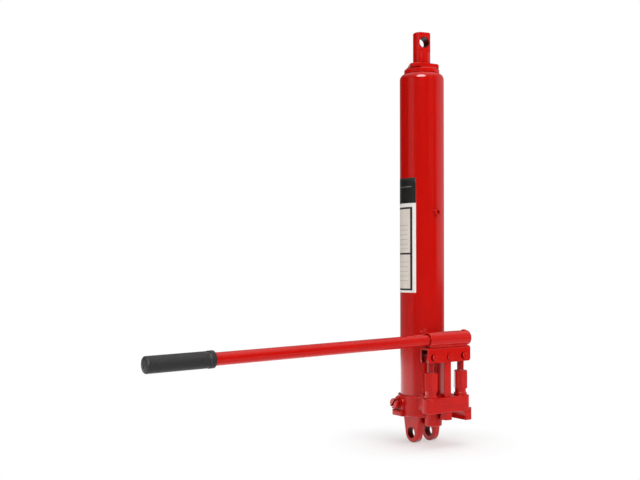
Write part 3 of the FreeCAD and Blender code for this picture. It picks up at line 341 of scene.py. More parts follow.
def make_edge_rub():
    """Edges where the paint is thin, with a normal that softens them."""
    tree, given, out = new_group("Edge Rub", {"Radius": 0.0006, "Spread": 1.0}, ["Mask", "Normal"])
    bevel = put(tree, "ShaderNodeBevel", "softened edges", Radius=given["Radius"])
    bevel.samples = 6
    flat = put(tree, "ShaderNodeNewGeometry").outputs["Normal"]
    likeness = vectors(tree, "DOT_PRODUCT", bevel.outputs[0], flat)["Value"]
    edge = stretch(tree, likeness, 0.995, 0.85)
    feed(tree, maths(tree, "MULTIPLY", edge, given["Spread"], clamp=True), out["Mask"])
    feed(tree, bevel.outputs[0], out["Normal"])


def make_orange_peel():
    """Fine waves of sprayed paint over slow ones."""
    tree, given, out = new_group("Orange Peel", {"Place": None, "Waves": 420.0}, ["Height"])
    waves = noisy(tree, "waves", given["Place"], given["Waves"], 1.5, Roughness=0.45)
    slow = noisy(tree, "slow waves", given["Place"], 90.0, 1.0)
    feed(tree, maths(tree, "MULTIPLY_ADD", slow, 0.6, waves), out["Height"])


def make_cast_skin():
    """Sand grain and lumps of a rough casting, or the grain of a mould."""
    tree, given, out = new_group("Cast Skin", {"Place": None, "Grain": 620.0},
                                 ["Height", "Hollows"])
    grain = noisy(tree, "sand grain", given["Place"], given["Grain"], 3.0, Roughness=0.62)
    lumps = noisy(tree, "lumps", given["Place"], 110.0, 2.0)
    feed(tree, maths(tree, "MULTIPLY_ADD", lumps, 1.7, grain), out["Height"])
    feed(tree, stretch(tree, grain, 0.56, 0.36), out["Hollows"])


def make_cutter_marks():
    """Level lines and wider streaks that a cutter leaves."""
    tree, given, out = new_group("Cutter Marks", {"Place": None, "Lines": 1500.0},
                                 ["Height", "Streaks"])
    narrow = vectors(tree, "MULTIPLY", given["Place"], (0.03, 0.03, 1.0))["Vector"]
    wide = vectors(tree, "MULTIPLY", given["Place"], (0.12, 0.12, 1.0))["Vector"]
    lines = noisy(tree, "cutter lines", narrow, given["Lines"], 4.0, Roughness=0.7)
    sweeps = noisy(tree, "sweeps", wide, 330.0, 2.0)
    feed(tree, maths(tree, "MULTIPLY_ADD", sweeps, 0.8, lines), out["Height"])
    feed(tree, stretch(tree, sweeps, 0.42, 0.6), out["Streaks"])


def make_corner_shade():
    """Mask of corners, from ambient occlusion, where shade is painted onto the surface."""
    tree, given, out = new_group("Corner Grime", {"Reach": 0.014, "Amount": 0.8}, ["Mask"])
    corners = put(tree, "ShaderNodeAmbientOcclusion", "corners", Distance=given["Reach"])
    corners.samples = 8
    closed = stretch(tree, corners.outputs["AO"], 0.72, 0.18)
    feed(tree, maths(tree, "MULTIPLY", closed, given["Amount"], clamp=True), out["Mask"])


def make_settled_dust():
    """Patchy dust on faces that look up."""
    tree, given, out = new_group("Settled Dust", {"Place": None, "Amount": 0.2}, ["Mask"])
    facing = put(tree, "ShaderNodeNewGeometry").outputs["Normal"]
    facing_up = stretch(tree, split(tree, facing)["Z"], 0.5, 1.0)
    patchy = stretch(tree, noisy(tree, "dust cloud", given["Place"], 160.0, 5.0), 0.42, 0.7)
    settled = maths(tree, "MULTIPLY", facing_up, patchy)
    feed(tree, maths(tree, "MULTIPLY", settled, given["Amount"], clamp=True), out["Mask"])


def new_material(name):
    """Material with its Principled shader, its tree and the object's own coordinates."""
    made = bpy.data.materials.new(name)
    made.use_nodes = True
    tree = made.node_tree
    place = tree.nodes.new("ShaderNodeTexCoord").outputs["Object"]
    return made, tree, tree.nodes["Principled BSDF"], place


def finish(tree, shader, base, rough, normal, specular=0.5):
    """Feeds colour, roughness, normal and gloss to the Principled shader."""
    feed_all(tree, shader, {"Base Color": base, "Roughness": rough, "Normal": normal,
                            "Specular IOR Level": specular})


# Finishes: lengths in metres, and shares
# Painted shade on the walls of bores and inside the channel:
FADE_NEAR = 0.0002      # a dark face fades out between this distance
FADE_FAR = 0.0006       # and this one
PAINT_RAG = 0.0012      # how far the paint's lower edge wanders on a bare rod
FILM_WAVES = 0.00002    # height of the waves in the label's film
MILLED_FROM = 0.004     # the cast front turns milled from this far behind the pumps' axes
MILLED_TO = 0.008       # to this far before them
BORE_DULL = 0.8         # share of the paint's gloss that a bore loses
TINT = 0.96             # the paint where it is a little darker, as a share of its colour
CORNER_SHADE_TINT = 0.25       # in corners, where it is painted shade
CAST_TINT = 0.6         # and in the casting's pits and streaks
PITS = 0.35             # how much the pits show
STREAKS = 0.3           # and the streaks


def in_bore(tree, place, bore):
    """Mask of the wall of a bore, given by a point on its axis, its direction and its radius."""
    centre, axis, radius = bore
    offset = vectors(tree, "SUBTRACT", place, centre)["Vector"]
    across = vectors(tree, "CROSS_PRODUCT", offset, axis)["Vector"]
    reach = vectors(tree, "LENGTH", across)["Value"]
    return stretch(tree, reach, radius + FADE_FAR, radius + FADE_NEAR)


def in_channel(tree, place):
    """Mask of the inner faces of the rocker's channel."""
    axes = split(tree, place)
    beside = maths(tree, "ABSOLUTE", maths(tree, "SUBTRACT", axes["Y"], PUMP_Y))
    between = stretch(tree, beside, CHANNEL_INNER + FADE_FAR, CHANNEL_INNER + FADE_NEAR)
    under = stretch(tree, axes["Z"], CHANNEL_ROOF - FADE_NEAR, CHANNEL_ROOF - FADE_FAR)
    return maths(tree, "MULTIPLY", between, under)


def painted_casting(tree, place, look, base, normal):
    """Colour and normal with the casting's skin, and milled faces in front and on top."""
    facing = split(tree, put(tree, "ShaderNodeNewGeometry").outputs["Normal"])
    in_front = stretch(tree, facing["Y"], -0.9, -0.99)
    on_top = stretch(tree, facing["Z"], 0.9, 0.99)
    at_pumps = stretch(tree, split(tree, place)["Y"],
                       PUMP_Y + MILLED_FROM, PUMP_Y - MILLED_TO)
    milled = maths(tree, "MAXIMUM", maths(tree, "MULTIPLY", in_front, at_pumps), on_top, clamp=True)
    unmilled = maths(tree, "SUBTRACT", 1.0, milled, clamp=True)
    skin = use(tree, "Cast Skin", Place=place)
    marks = use(tree, "Cutter Marks", Place=place)
    normal = bump(tree, maths(tree, "MULTIPLY", skin["Height"], unmilled), look.cast_depth, normal)
    normal = bump(tree, maths(tree, "MULTIPLY", marks["Height"], milled), look.mill_depth, normal)
    dark = shade(look.red, CAST_TINT)
    pits = maths(tree, "MULTIPLY", skin["Hollows"], maths(tree, "MULTIPLY", unmilled, PITS))
    streaks = maths(tree, "MULTIPLY", marks["Streaks"], maths(tree, "MULTIPLY", milled, STREAKS))
    return blended(tree, streaks, blended(tree, pits, base, dark), dark), normal


def bare_end(tree, place, steel, below, base, rough, normal):
    """Colour, roughness, normal and mask with ground steel below a height."""
    ragged = noisy(tree, "paint's edge", place, 300.0, 2.0)
    line = maths(tree, "MULTIPLY_ADD", ragged, PAINT_RAG, split(tree, place)["Z"])
    bare = stretch(tree, line, below + PAINT_RAG, below + PAINT_RAG / 2)
    ground = use(tree, "Cutter Marks", Place=place, Lines=4200.0)["Height"]
    normal = bump(tree, maths(tree, "MULTIPLY", ground, bare), steel.ground_depth, normal)
    base = blended(tree, bare, base, steel.ground)
    painted_rough = maths(tree, "MULTIPLY", rough, maths(tree, "SUBTRACT", 1.0, bare))
    rough = maths(tree, "ADD", painted_rough, maths(tree, "MULTIPLY", bare, steel.roughness))
    return base, rough, normal, bare


def gloss_red(name, settings, tone=1.0, rub=1.0, gloss=None, cast=False, bore=None, hollow=False,
              bare_below=None):
    """Gloss red paint.

    cast adds the casting's skin and milled faces, bore paints shade on the wall of a bore, hollow
    paints shade on the inside of the channel, and bare_below shows ground steel below a height.
    Shade is painted into corners as well.
    """
    look = settings.ram_paint
    made, tree, shader, place = new_material(name)
    edge = use(tree, "Edge Rub", Radius=look.edge_radius, Spread=look.rub * rub)
    dust = use(tree, "Settled Dust", Place=place, Amount=look.dust_amount)["Mask"]
    corner_shade = use(tree, "Corner Grime", Amount=look.corner_shade)["Mask"]
    red = shade(look.red, tone)
    tint = stretch(tree, noisy(tree, "tint", place, 22.0, 3.0), 0.35, 0.65)
    base = blended(tree, tint, shade(red, TINT), red)
    base = blended(tree, edge["Mask"], base, look.edge_red)
    base = blended(tree, dust, base, look.dust)
    # Painted shade in corners
    base = blended(tree, corner_shade, base, shade(red, CORNER_SHADE_TINT))
    level = (look.cast_gloss if cast else look.gloss) if gloss is None else gloss
    # Painted shade on the wall of a bore, which also mirrors less
    if bore is not None:
        wall = in_bore(tree, place, bore)
        base = blended(tree, wall, base, look.painted_shade_red)
        level = maths(tree, "MULTIPLY_ADD", wall, -BORE_DULL * level, level)
    # Painted shade inside the channel
    if hollow:
        base = blended(tree, in_channel(tree, place), base, look.painted_shade_red)
    peel = use(tree, "Orange Peel", Place=place)["Height"]
    normal = bump(tree, peel, look.peel, edge["Normal"])
    smooth = look.cast_roughness if cast else look.roughness
    rough = maths(tree, "MULTIPLY_ADD", dust, 0.3, smooth)
    if cast:
        base, normal = painted_casting(tree, place, look, base, normal)
    if bare_below is not None:
        base, rough, normal, bare = bare_end(tree, place, settings.ram_steel, bare_below,
                                             base, rough, normal)
        feed(tree, bare, shader.inputs["Metallic"])
    finish(tree, shader, base, rough, normal, level)
    return made


def bare_metal(name, look, tone, roughness):
    """Turned or ground bare metal."""
    made, tree, shader, place = new_material(name)
    edge = use(tree, "Edge Rub", Radius=0.0003, Spread=0.8)
    marks = use(tree, "Cutter Marks", Place=place, Lines=3000.0)["Height"]
    stain = noisy(tree, "stain", place, 140.0, 4.0)
    base = blended(tree, stretch(tree, stain, 0.3, 0.7), shade(tone, 0.82), tone)
    base = blended(tree, edge["Mask"], base, shade(tone, 1.25))
    rough = maths(tree, "MULTIPLY_ADD", stain, 0.15, roughness)
    finish(tree, shader, base, rough, bump(tree, marks, look.turned_depth, edge["Normal"]))
    feed(tree, 1.0, shader.inputs["Metallic"])
    return made


def rubber(name, look, tone, roughness, depth):
    """Moulded rubber or soft plastic with a fine grain."""
    made, tree, shader, place = new_material(name)
    edge = use(tree, "Edge Rub", Radius=0.0004, Spread=0.7)
    dust = use(tree, "Settled Dust", Place=place, Amount=look.dust_amount)["Mask"]
    skin = use(tree, "Cast Skin", Place=place, Grain=900.0)
    base = blended(tree, edge["Mask"], tone, shade(tone, 1.7))
    base = blended(tree, dust, base, tuple(part * 1.9 + 0.01 for part in tone))
    rough = maths(tree, "MULTIPLY_ADD", skin["Hollows"], 0.12, roughness)
    finish(tree, shader, base, rough, bump(tree, skin["Height"], depth, edge["Normal"]), 0.4)
    return made


def print_ink(name, tone, roughness=0.32):
    """Printed film of the label."""
    made, tree, shader, place = new_material(name)
    fade = noisy(tree, "print", place, 260.0, 3.0)
    base = blended(tree, stretch(tree, fade, 0.3, 0.7), shade(tone, 0.95), tone)
    peel = use(tree, "Orange Peel", Place=place, Waves=160.0)["Height"]
    rough = maths(tree, "MULTIPLY_ADD", fade, 0.1, roughness)
    finish(tree, shader, base, rough, bump(tree, peel, FILM_WAVES), 0.35)
    return made


# Mesh building

def dress(nodes, material):
    """Gives CAD nodes a material."""
    for name in nodes:
        data = NODES[name].data
        data.materials.clear()
        data.materials.append(material)


def mesh_piece(name, points, faces, materials, face_materials=None, smooth=True):
    """Mesh object from points and faces."""
    mesh = bpy.data.meshes.new(name)
    mesh.from_pydata([tuple(p) for p in points], [], faces)
    for material in materials:
        mesh.materials.append(material)
    if face_materials:
        for face, index in zip(mesh.polygons, face_materials):
            face.material_index = index
    for face in mesh.polygons:
        face.use_smooth = smooth
    mesh.validate()
    mesh.update()
    piece = bpy.data.objects.new(name, mesh)
    bpy.context.scene.collection.objects.link(piece)
    return piece


# Label, in metres
MARGIN, INK, FIELD, GREY = range(4)     # its print, by the place of each material
LABEL_GAP = 0.00002                     # gap between tank and sheet
LABEL_STEP = math.radians(2.5)          # turn of its widest cell
LABEL_ROW = 0.012                       # height of its tallest cell


def label_columns(sizes):
    """Arc positions where the print changes, from the right edge, with their kind."""
    arc = TANK_R * sizes.wrap
    inner = sizes.margin + sizes.line
    return [(0.0, "margin"), (sizes.margin, "line"), (inner, "field"),
            (arc - inner, "line"), (arc - sizes.margin, "margin"), (arc, None)]


def ruled_lines(first, number, sizes):
    """Thin lines on the field, from the lowest one up."""
    rows = []
    for k in range(number):
        lift = first + k * sizes.rule_pitch
        rows += [(lift, "rule"), (lift + sizes.rule, "field")]
    return rows


def label_rows(sizes):
    """Heights over the lower edge where the print changes, with their kind."""
    tall = sizes.top - sizes.bottom
    frame_top = tall - sizes.header - sizes.margin
    foot = sizes.margin * 0.6
    pale = tall - sizes.header_line
    rows = [(0.0, "margin"), (foot, "line"), (foot + sizes.level_line, "field")]
    rows += ruled_lines(foot + 2 * sizes.rule_pitch, sizes.low_rules, sizes)
    rows += [(sizes.divider, "line"), (sizes.divider + sizes.level_line, "field")]
    rows += ruled_lines(sizes.divider + 1.2 * sizes.rule_pitch, sizes.high_rules, sizes)
    rows += [(frame_top - sizes.level_line, "line"), (frame_top, "margin"),
             (tall - sizes.header, "header"), (pale - sizes.header_rule, "pale"),
             (pale, "header"), (tall, None)]
    return rows


def label_print(column, row, arc, sizes):
    """Print of one cell of the label."""
    inset = sizes.margin + sizes.line
    from_side = min(arc, TANK_R * sizes.wrap - arc)
    if row == "header":
        return INK
    if row == "pale":
        return GREY if from_side > inset * 0.7 else INK
    if "margin" in (column, row):
        return MARGIN
    if "line" in (column, row):
        return INK
    ruled = row == "rule" and from_side > inset + sizes.rule_inset
    return GREY if ruled else FIELD


def cut_up(marks, widest):
    """Splits long cells so that none is wider than a limit."""
    cells = []
    for (start, kind), (end, _) in zip(marks, marks[1:]):
        parts = max(1, math.ceil((end - start) / widest))
        cells += [(start + (end - start) * k / parts, kind) for k in range(parts)]
    return cells + [marks[-1]]


def build_label(sizes, materials):
    """Thin curved sheet with its print as face materials and a closed edge."""
    columns = cut_up(label_columns(sizes), TANK_R * LABEL_STEP)
    rows = cut_up(label_rows(sizes), LABEL_ROW)
    arc_middle = TANK_R * sizes.wrap / 2
    points = []
    for radius in (TANK_R + sizes.film, TANK_R + LABEL_GAP):
        for height, _ in rows:
            for arc, _ in columns:
                turn = sizes.right_turn + arc / TANK_R
                z = sizes.bottom + height - (arc - arc_middle) * math.tan(sizes.slant)
                points.append((-radius * math.sin(turn), -radius * math.cos(turn), z))
    wide, tall = len(columns), len(rows)
    layer = wide * tall
    faces, prints = [], []
    for j in range(tall - 1):
        for i in range(wide - 1):
            a = j * wide + i
            arc = (columns[i][0] + columns[i + 1][0]) / 2
            faces.append((a, a + wide, a + wide + 1, a + 1))
            prints.append(label_print(columns[i][1], rows[j][1], arc, sizes))
            faces.append((a + layer, a + layer + 1, a + layer + wide + 1, a + layer + wide))
            prints.append(MARGIN)
    rim = list(range(wide)) + [j * wide + wide - 1 for j in range(1, tall)]
    rim += [(tall - 1) * wide + i for i in range(wide - 2, -1, -1)]
    rim += [j * wide for j in range(tall - 2, 0, -1)]
    for a, b in zip(rim, rim[1:] + rim[:1]):
        faces.append((a, b, b + layer, a + layer))
        prints.append(MARGIN)
    return mesh_piece("label_sheet", points, faces, materials, prints)


# Weld beads, in metres and degrees
BEAD_IN = 0.0035        # centre of the round face, in from the channel's side
BEAD_UP = 0.0006        # and up from the channel's top
BEAD_START = -12        # where the round face starts
BEAD_SWEEP = 152        # how far it goes round
BEAD_SINK = 0.0001      # how deep a bead sinks into the channel
BEAD_FOOT = 0.001       # how far a bead stays from the middle under the socket
BEAD_POINTS = 14
BEAD_RINGS = 150
BEAD_UNEVEN = 0.35      # how much the ripples' pitch varies
BEAD_LUMPS = 0.05       # how much their height varies
BEAD_LEAST = 0.25       # share of the radius that is left at the ends


def bead_section(radius, side):
    """Cross-section of a bead in the corner between channel and socket, as (y, z) points."""
    y0 = side * (CHANNEL_HIGH.y - PUMP_Y - BEAD_IN)
    z0 = CHANNEL_HIGH.z + BEAD_UP
    lowest = CHANNEL_HIGH.z - BEAD_SINK
    nearest = SOCKET_R - 2 * BEAD_SINK
    ring = []
    for k in range(BEAD_POINTS + 1):
        turn = math.radians(BEAD_START + BEAD_SWEEP * k / BEAD_POINTS)
        y = y0 + side * radius * math.cos(turn)
        z = max(z0 + radius * math.sin(turn), lowest)
        reach = math.hypot(y, z - SOCKET_Z)
        if reach < nearest:
            shrink = nearest / reach
            y, z = y * shrink, SOCKET_Z + (z - SOCKET_Z) * shrink
        ring.append((y, z))
    ring.append((side * BEAD_FOOT, lowest))
    return ring


def bead_rings(sizes, side, low_x, high_x):
    """Points of a bead's rings along the channel, with ripples of uneven pitch and height."""
    rings = []
    for k in range(BEAD_RINGS + 1):
        x = low_x + (high_x - low_x) * k / BEAD_RINGS
        uneven = BEAD_UNEVEN * noise.noise(Vector((x * 400, side * 3.0, 0)))
        saw = ((x - low_x) / sizes.pitch + uneven) % 1.0
        swell = 1 - sizes.ripple * (1 - math.sin(math.pi * saw) ** 0.6)
        swell += BEAD_LUMPS * noise.noise(Vector((x * 260, side * 7.0, 2.0)))
        close = min(1.0, math.sqrt(max(0.0, min(x - low_x, high_x - x)) / sizes.taper))
        section = bead_section(sizes.radius * max(BEAD_LEAST, swell * close), side)
        lag = sizes.lag * math.cos(math.pi * saw)
        last = len(section) - 1
        ring = []
        for i, (y, z) in enumerate(section):
            bow = math.sin(math.pi * min(1.0, i / last)) * lag
            ring.append((min(high_x, max(low_x, x - bow)), PUMP_Y + y, z))
        rings.append(ring)
    return rings


def build_beads(sizes, material):
    """Two rippled fillet beads, one on each side of the socket."""
    low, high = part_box("socket_welds")
    points, faces = [], []
    for side in (-1, 1):
        rings = bead_rings(sizes, side, low.x, high.x)
        size = len(rings[0])
        first = len(points)
        last = first + (len(rings) - 1) * size
        points += [point for ring in rings for point in ring]
        for a in range(first, last, size):
            for i in range(size):
                j = (i + 1) % size
                quad = (a + i, a + j, a + size + j, a + size + i)
                faces.append(quad if side > 0 else quad[::-1])
        start = list(range(first, first + size))
        end = list(range(last, last + size))
        faces += [start[::-1], end] if side > 0 else [start, end[::-1]]
    return mesh_piece("socket_weld_beads", points, faces, [material])


# Grip, in metres
GRIP_FACE_PARTS = 6
GRIP_BODY_PARTS = 24
VENT_EDGE = 0.0005      # rounding of the vent's mouth
BAND_EDGE = 0.0012      # rounding of the band's two edges
BAND_SHARE = 0.9        # share of the band's height, which keeps it inside the CAD grip
# Groove and band: a share of the groove's depth (below 0) or of the band's height, and the
# distance from the band's start
GROOVE_AND_BAND = ((-0.7, -0.0007), (-1.0, -0.0003), (-0.4, 0.0), (0.7, 0.0004), (1.0, BAND_EDGE))


def grip_profile(sizes, outer, along_all):
    """Closed profile of the grip from its outer end, as (radius, distance) points."""
    band_start = along_all - sizes.band
    proud = sizes.proud * BAND_SHARE
    vent = sizes.vent + VENT_EDGE
    face = outer - sizes.edge
    bore = outer - sizes.wall
    profile = [(sizes.vent, sizes.end), (sizes.vent, 0.0006), (vent, sizes.crown * 0.1)]
    for k in range(1, GRIP_FACE_PARTS + 1):
        share = k / GRIP_FACE_PARTS
        profile.append((vent + (face - vent) * share, sizes.crown * share ** 2))
    for k in range(1, GRIP_FACE_PARTS + 1):
        turn = math.pi / 2 * k / GRIP_FACE_PARTS
        profile.append((face + sizes.edge * math.sin(turn),
                        sizes.crown + sizes.edge * (1 - math.cos(turn))))
    start = sizes.crown + sizes.edge
    body = band_start - BAND_EDGE - start
    profile += [(outer, start + body * k / GRIP_BODY_PARTS) for k in range(1, GRIP_BODY_PARTS + 1)]
    for share, along in GROOVE_AND_BAND:
        step = share * (sizes.groove if share < 0 else proud)
        profile.append((outer + step, band_start + along))
    profile += [(outer + proud, along_all - BAND_EDGE), (outer + proud * 0.6, along_all - 0.0004),
                (outer - 0.0002, along_all), (bore, along_all), (bore, sizes.end)]
    return profile


def build_grip(sizes, material):
    """Moulded grip as a turned form about the handle's own axis."""
    tube, grip = middle("handle_tube"), middle("handle_grip")
    tilt = math.atan2(tube.z - grip.z, tube.x - grip.x)
    outer = (GRIP_HIGH.y - GRIP_LOW.y) / 2 - sizes.proud
    along_all = (GRIP_HIGH.x - GRIP_LOW.x) / math.cos(tilt) - 2 * outer * abs(math.sin(tilt))
    profile = grip_profile(sizes, outer, along_all)
    steps = sizes.steps
    shift = (Matrix.Translation(grip) @ Matrix.Rotation(-tilt, 4, "Y")
             @ Matrix.Translation((-along_all / 2, 0, 0)))
    points, faces = [], []
    for radius, along in profile:
        for k in range(steps):
            turn = 2 * math.pi * k / steps
            points.append(shift @ Vector((along, radius * math.cos(turn), radius * math.sin(turn))))
    for i in range(len(profile)):
        j = (i + 1) % len(profile)
        for k in range(steps):
            m = (k + 1) % steps
            faces.append((i * steps + k, i * steps + m, j * steps + m, j * steps + k))
    return mesh_piece("grip_sleeve", points, faces, [material])


# Stage

# The camera stands at this place and looks level along this turn from +Y, a little rolled.
CAMERA_PLACE = (-0.95516, -1.11357, 0.266)
CAMERA_TURN = math.radians(-34.6)
CAMERA_ROLL = math.radians(0.11)
CAMERA_LENS = 54.4
CAMERA_SENSOR = 36
CAMERA_RISE = 15 / 640

# Lamps, named as their powers: width and height, and place. All look at one point.
LAMPS = {"key": ((0.7, 1.0), (0.35, -1.7, 0.9)),
         "fill": ((0.7, 1.0), (-1.6, -0.2, 0.7)),
         "top": ((1.4, 1.4), (0.1, -0.1, 1.9))}
LAMP_AIM = (0, 0, 0.3)

# Panels that only the paint mirrors: direction, half width and soft edge in degrees, and level.
# They stand behind, on the left and on the right.
PANELS = (((0.57, 0.82, 0.05), 10, 40, 0.25),
          ((-0.985, 0.143, 0.1), 10, 10, 0.34),
          ((0.968, -0.252, 0.1), 20, 24, 0.55))
# The panel above the camera is flat: its heights are stretched by this much first.
SOFTBOX = ((-0.484, -0.526, 0.64), 17, 4, 15.0)
SOFTBOX_STRETCH = (1, 1, 1.6)

# Ceiling that the paint mirrors: it brightens between these two heights of a direction
CEILING = (0.35, 0.95)

# Floor, in metres
FLOOR_RINGS = (0.2, 0.5, 1.2, 3.0, 9.0)
FLOOR_STEPS = 48
FLOOR_DROP = 0.0002         # gap under the ears
FLOOR_WHITE = (0.03, 0.17)  # it turns white between these distances from the ram
FLOOR_SIDES = (-0.2, 0.15)  # as the paint mirrors it, it goes from front to behind here,
FLOOR_FAR = (1.5, 0.8)      # and from dim to full between these distances
FLOOR_DIM = 0.15


def area_lamp(name, size, place, strength):
    """Area lamp aimed at the ram, which the paint doesn't mirror."""
    data = bpy.data.lights.new(name, "AREA")
    data.shape = "RECTANGLE"
    data.size, data.size_y = size
    data.energy = strength
    lamp = bpy.data.objects.new(name, data)
    bpy.context.scene.collection.objects.link(lamp)
    lamp.location = place
    lamp.rotation_euler = (Vector(LAMP_AIM) - Vector(place)).to_track_quat("-Z", "Y").to_euler()
    lamp.visible_glossy = False


def build_camera():
    """Camera at the photograph's place."""
    data = bpy.data.cameras.new("photo_camera")
    data.sensor_width = CAMERA_SENSOR
    data.lens = CAMERA_LENS
    data.shift_y = CAMERA_RISE
    camera = bpy.data.objects.new("photo_camera", data)
    bpy.context.scene.collection.objects.link(camera)
    camera.location = CAMERA_PLACE
    camera.rotation_euler = (math.radians(90), CAMERA_ROLL, CAMERA_TURN)
    bpy.context.scene.camera = camera


def panel_level(tree, direction, panel):
    """Soft round patch of brightness about a direction."""
    centre, wide, soft, level = panel
    likeness = vectors(tree, "DOT_PRODUCT", direction, Vector(centre).normalized())["Value"]
    return stretch(tree, likeness, math.cos(math.radians(wide + soft)),
                   math.cos(math.radians(wide)), 0.0, level)


def build_surroundings(look):
    """White studio: white to the camera, with soft panels in reflections."""
    world = bpy.data.worlds.new("studio")
    bpy.context.scene.world = world
    world.use_nodes = True
    tree = world.node_tree
    background = tree.nodes["Background"]
    direction = tree.nodes.new("ShaderNodeTexCoord").outputs["Generated"]
    level = stretch(tree, split(tree, direction)["Z"], *CEILING)
    flattened = vectors(tree, "MULTIPLY", direction, SOFTBOX_STRETCH)["Vector"]
    flattened = vectors(tree, "NORMALIZE", flattened)["Vector"]
    patches = [panel_level(tree, direction, panel) for panel in PANELS]
    for patch in (*patches, panel_level(tree, flattened, SOFTBOX)):
        level = maths(tree, "MAXIMUM", level, patch)
    rays = tree.nodes.new("ShaderNodeLightPath").outputs
    even = maths(tree, "MULTIPLY", rays["Is Diffuse Ray"], look.surround)
    mirrored = maths(tree, "MAXIMUM", rays["Is Glossy Ray"], rays["Is Transmission Ray"])
    mirrored = maths(tree, "MULTIPLY", mirrored, level)
    lit = maths(tree, "MAXIMUM", even, mirrored)
    background.inputs["Color"].default_value = (1, 1, 1, 1)
    feed(tree, maths(tree, "MAXIMUM", rays["Is Camera Ray"], lit), background.inputs["Strength"])


def floor_material(look):
    """Pale floor that fades to white away from the ram, with its own levels in reflections."""
    made, tree, shader, place = new_material("pale floor")
    distance = vectors(tree, "LENGTH", place)["Value"]
    away = stretch(tree, distance, *FLOOR_WHITE, look.floor_white, 1.0)
    speck = stretch(tree, noisy(tree, "speck", place, 35.0, 3.0), 0.3, 0.7)
    tone = blended(tree, speck, shade(look.floor, 0.985), look.floor)
    finish(tree, shader, tone, 0.55, None, 0.15)
    rays = tree.nodes.new("ShaderNodeLightPath").outputs
    level = stretch(tree, split(tree, place)["Y"], *FLOOR_SIDES, look.floor_front, look.floor_side)
    level = maths(tree, "MULTIPLY", level, stretch(tree, distance, *FLOOR_FAR, FLOOR_DIM, 1.0))
    over_white = maths(tree, "SUBTRACT", level, 1.0)
    strength = maths(tree, "MULTIPLY_ADD", rays["Is Glossy Ray"], over_white, 1.0)
    white = put(tree, "ShaderNodeEmission", Color=(1, 1, 1, 1), Strength=strength)
    seen = maths(tree, "MULTIPLY", away, rays["Is Camera Ray"])
    mix = tree.nodes.new("ShaderNodeMixShader")
    feed(tree, maths(tree, "MAXIMUM", seen, rays["Is Glossy Ray"]), mix.inputs[0])
    tree.links.new(shader.outputs[0], mix.inputs[1])
    tree.links.new(white.outputs[0], mix.inputs[2])
    tree.links.new(mix.outputs[0], tree.nodes["Material Output"].inputs[0])
    return made


def build_floor(look):
    """Round floor under the ram's clevis."""
    points = [(0, 0, 0)]
    for radius in FLOOR_RINGS:
        for k in range(FLOOR_STEPS):
            turn = 2 * math.pi * k / FLOOR_STEPS
            points.append((radius * math.cos(turn), radius * math.sin(turn), 0))
    beside = [(k, (k + 1) % FLOOR_STEPS) for k in range(FLOOR_STEPS)]
    faces = [(0, 1 + k, 1 + m) for k, m in beside]
    for a in range(1, 1 + (len(FLOOR_RINGS) - 1) * FLOOR_STEPS, FLOOR_STEPS):
        b = a + FLOOR_STEPS
        faces += [(a + k, b + k, b + m, a + m) for k, m in beside]
    floor = mesh_piece("floor", points, faces, [floor_material(look)], smooth=False)
    floor.location.z = CAD_LOW.z - FLOOR_DROP


class RAM_OT_prepare(bpy.types.Operator):
    """Builds the shader groups that the finishes share"""
    bl_idname = "ram.prepare"
    bl_label = "Shared effects"

    def execute(self, context):
        make_edge_rub()
        make_orange_peel()
        make_cast_skin()
        make_cutter_marks()
        make_corner_shade()
        make_settled_dust()
        return {"FINISHED"}


class RAM_OT_castings(bpy.types.Operator):
    """Paints the base casting and the plugs in it"""
    bl_idname = "ram.castings"
    bl_label = "Base casting"

    def execute(self, context):
        # The clevis bore's wall gets painted shade.
        casting = gloss_red("red casting", context.scene, cast=True, bore=CLEVIS_BORE)
        dress(["base_block"], casting)
        dress(["delivery_plug"], gloss_red("red plug", context.scene))
        return {"FINISHED"}


class RAM_OT_tank(bpy.types.Operator):
    """Paints the tank tube, its filler and the nut on top"""
    bl_idname = "ram.tank"
    bl_label = "Tank and top nut"

    def execute(self, context):
        tank = gloss_red("red tank", context.scene, tone=0.92, rub=0.6)
        dress(["reservoir_tube", "filler_bush"], tank)
        dress(["filler_plug", "gland_nut"], gloss_red("red fittings", context.scene, gloss=0.26))
        return {"FINISHED"}


class RAM_OT_rod(bpy.types.Operator):
    """Paints the rod's exposed end and leaves the rest ground steel"""
    bl_idname = "ram.rod"
    bl_label = "Rod and piston"

    def execute(self, context):
        steel = context.scene.ram_steel
        # The eye's bore gets painted shade.
        rod_end = gloss_red("red rod end", context.scene, bare_below=CLOSED_ROD_Z, bore=EYE_BORE)
        dress(["piston_rod"], rod_end)
        dress(["piston_head", "rod_guide"], bare_metal("turned iron", steel, steel.machined, 0.4))
        bright = bare_metal("bright steel", steel, steel.ground, 0.28)
        dress(["piston_nut", "pressure_cylinder"], bright)
        return {"FINISHED"}


class RAM_OT_seals(bpy.types.Operator):
    """Finishes the seals, wear ring and washers"""
    bl_idname = "ram.seals"
    bl_label = "Seals"

    def execute(self, context):
        look = context.scene.ram_rubber
        dress(["cylinder_foot_seal", "piston_cup_seal", "plunger_seals", "release_o_ring",
               "rod_seal", "rod_wiper", "tank_bottom_seal", "tank_top_seal", "filler_washer"],
              rubber("seal rubber", look, look.seal, roughness=0.5, depth=0.00002))
        plastic = rubber("wear ring plastic", look, look.plastic, roughness=0.45, depth=0.00001)
        dress(["piston_wear_ring"], plastic)
        return {"FINISHED"}


class RAM_OT_pumps(bpy.types.Operator):
    """Paints the pump cylinders and the exposed ends of their plungers"""
    bl_idname = "ram.pumps"
    bl_label = "Pumps"

    def execute(self, context):
        dress(["pump_cylinder_left", "pump_cylinder_right", "pump_seat_rings"],
              gloss_red("red pump", context.scene))
        # The plungers' painted ends get a darker red: painted shade from the channel over them.
        dress(["plunger_left", "plunger_right"],
              gloss_red("red plunger end", context.scene, tone=0.62, bare_below=CLOSED_PLUNGER_Z))
        return {"FINISHED"}


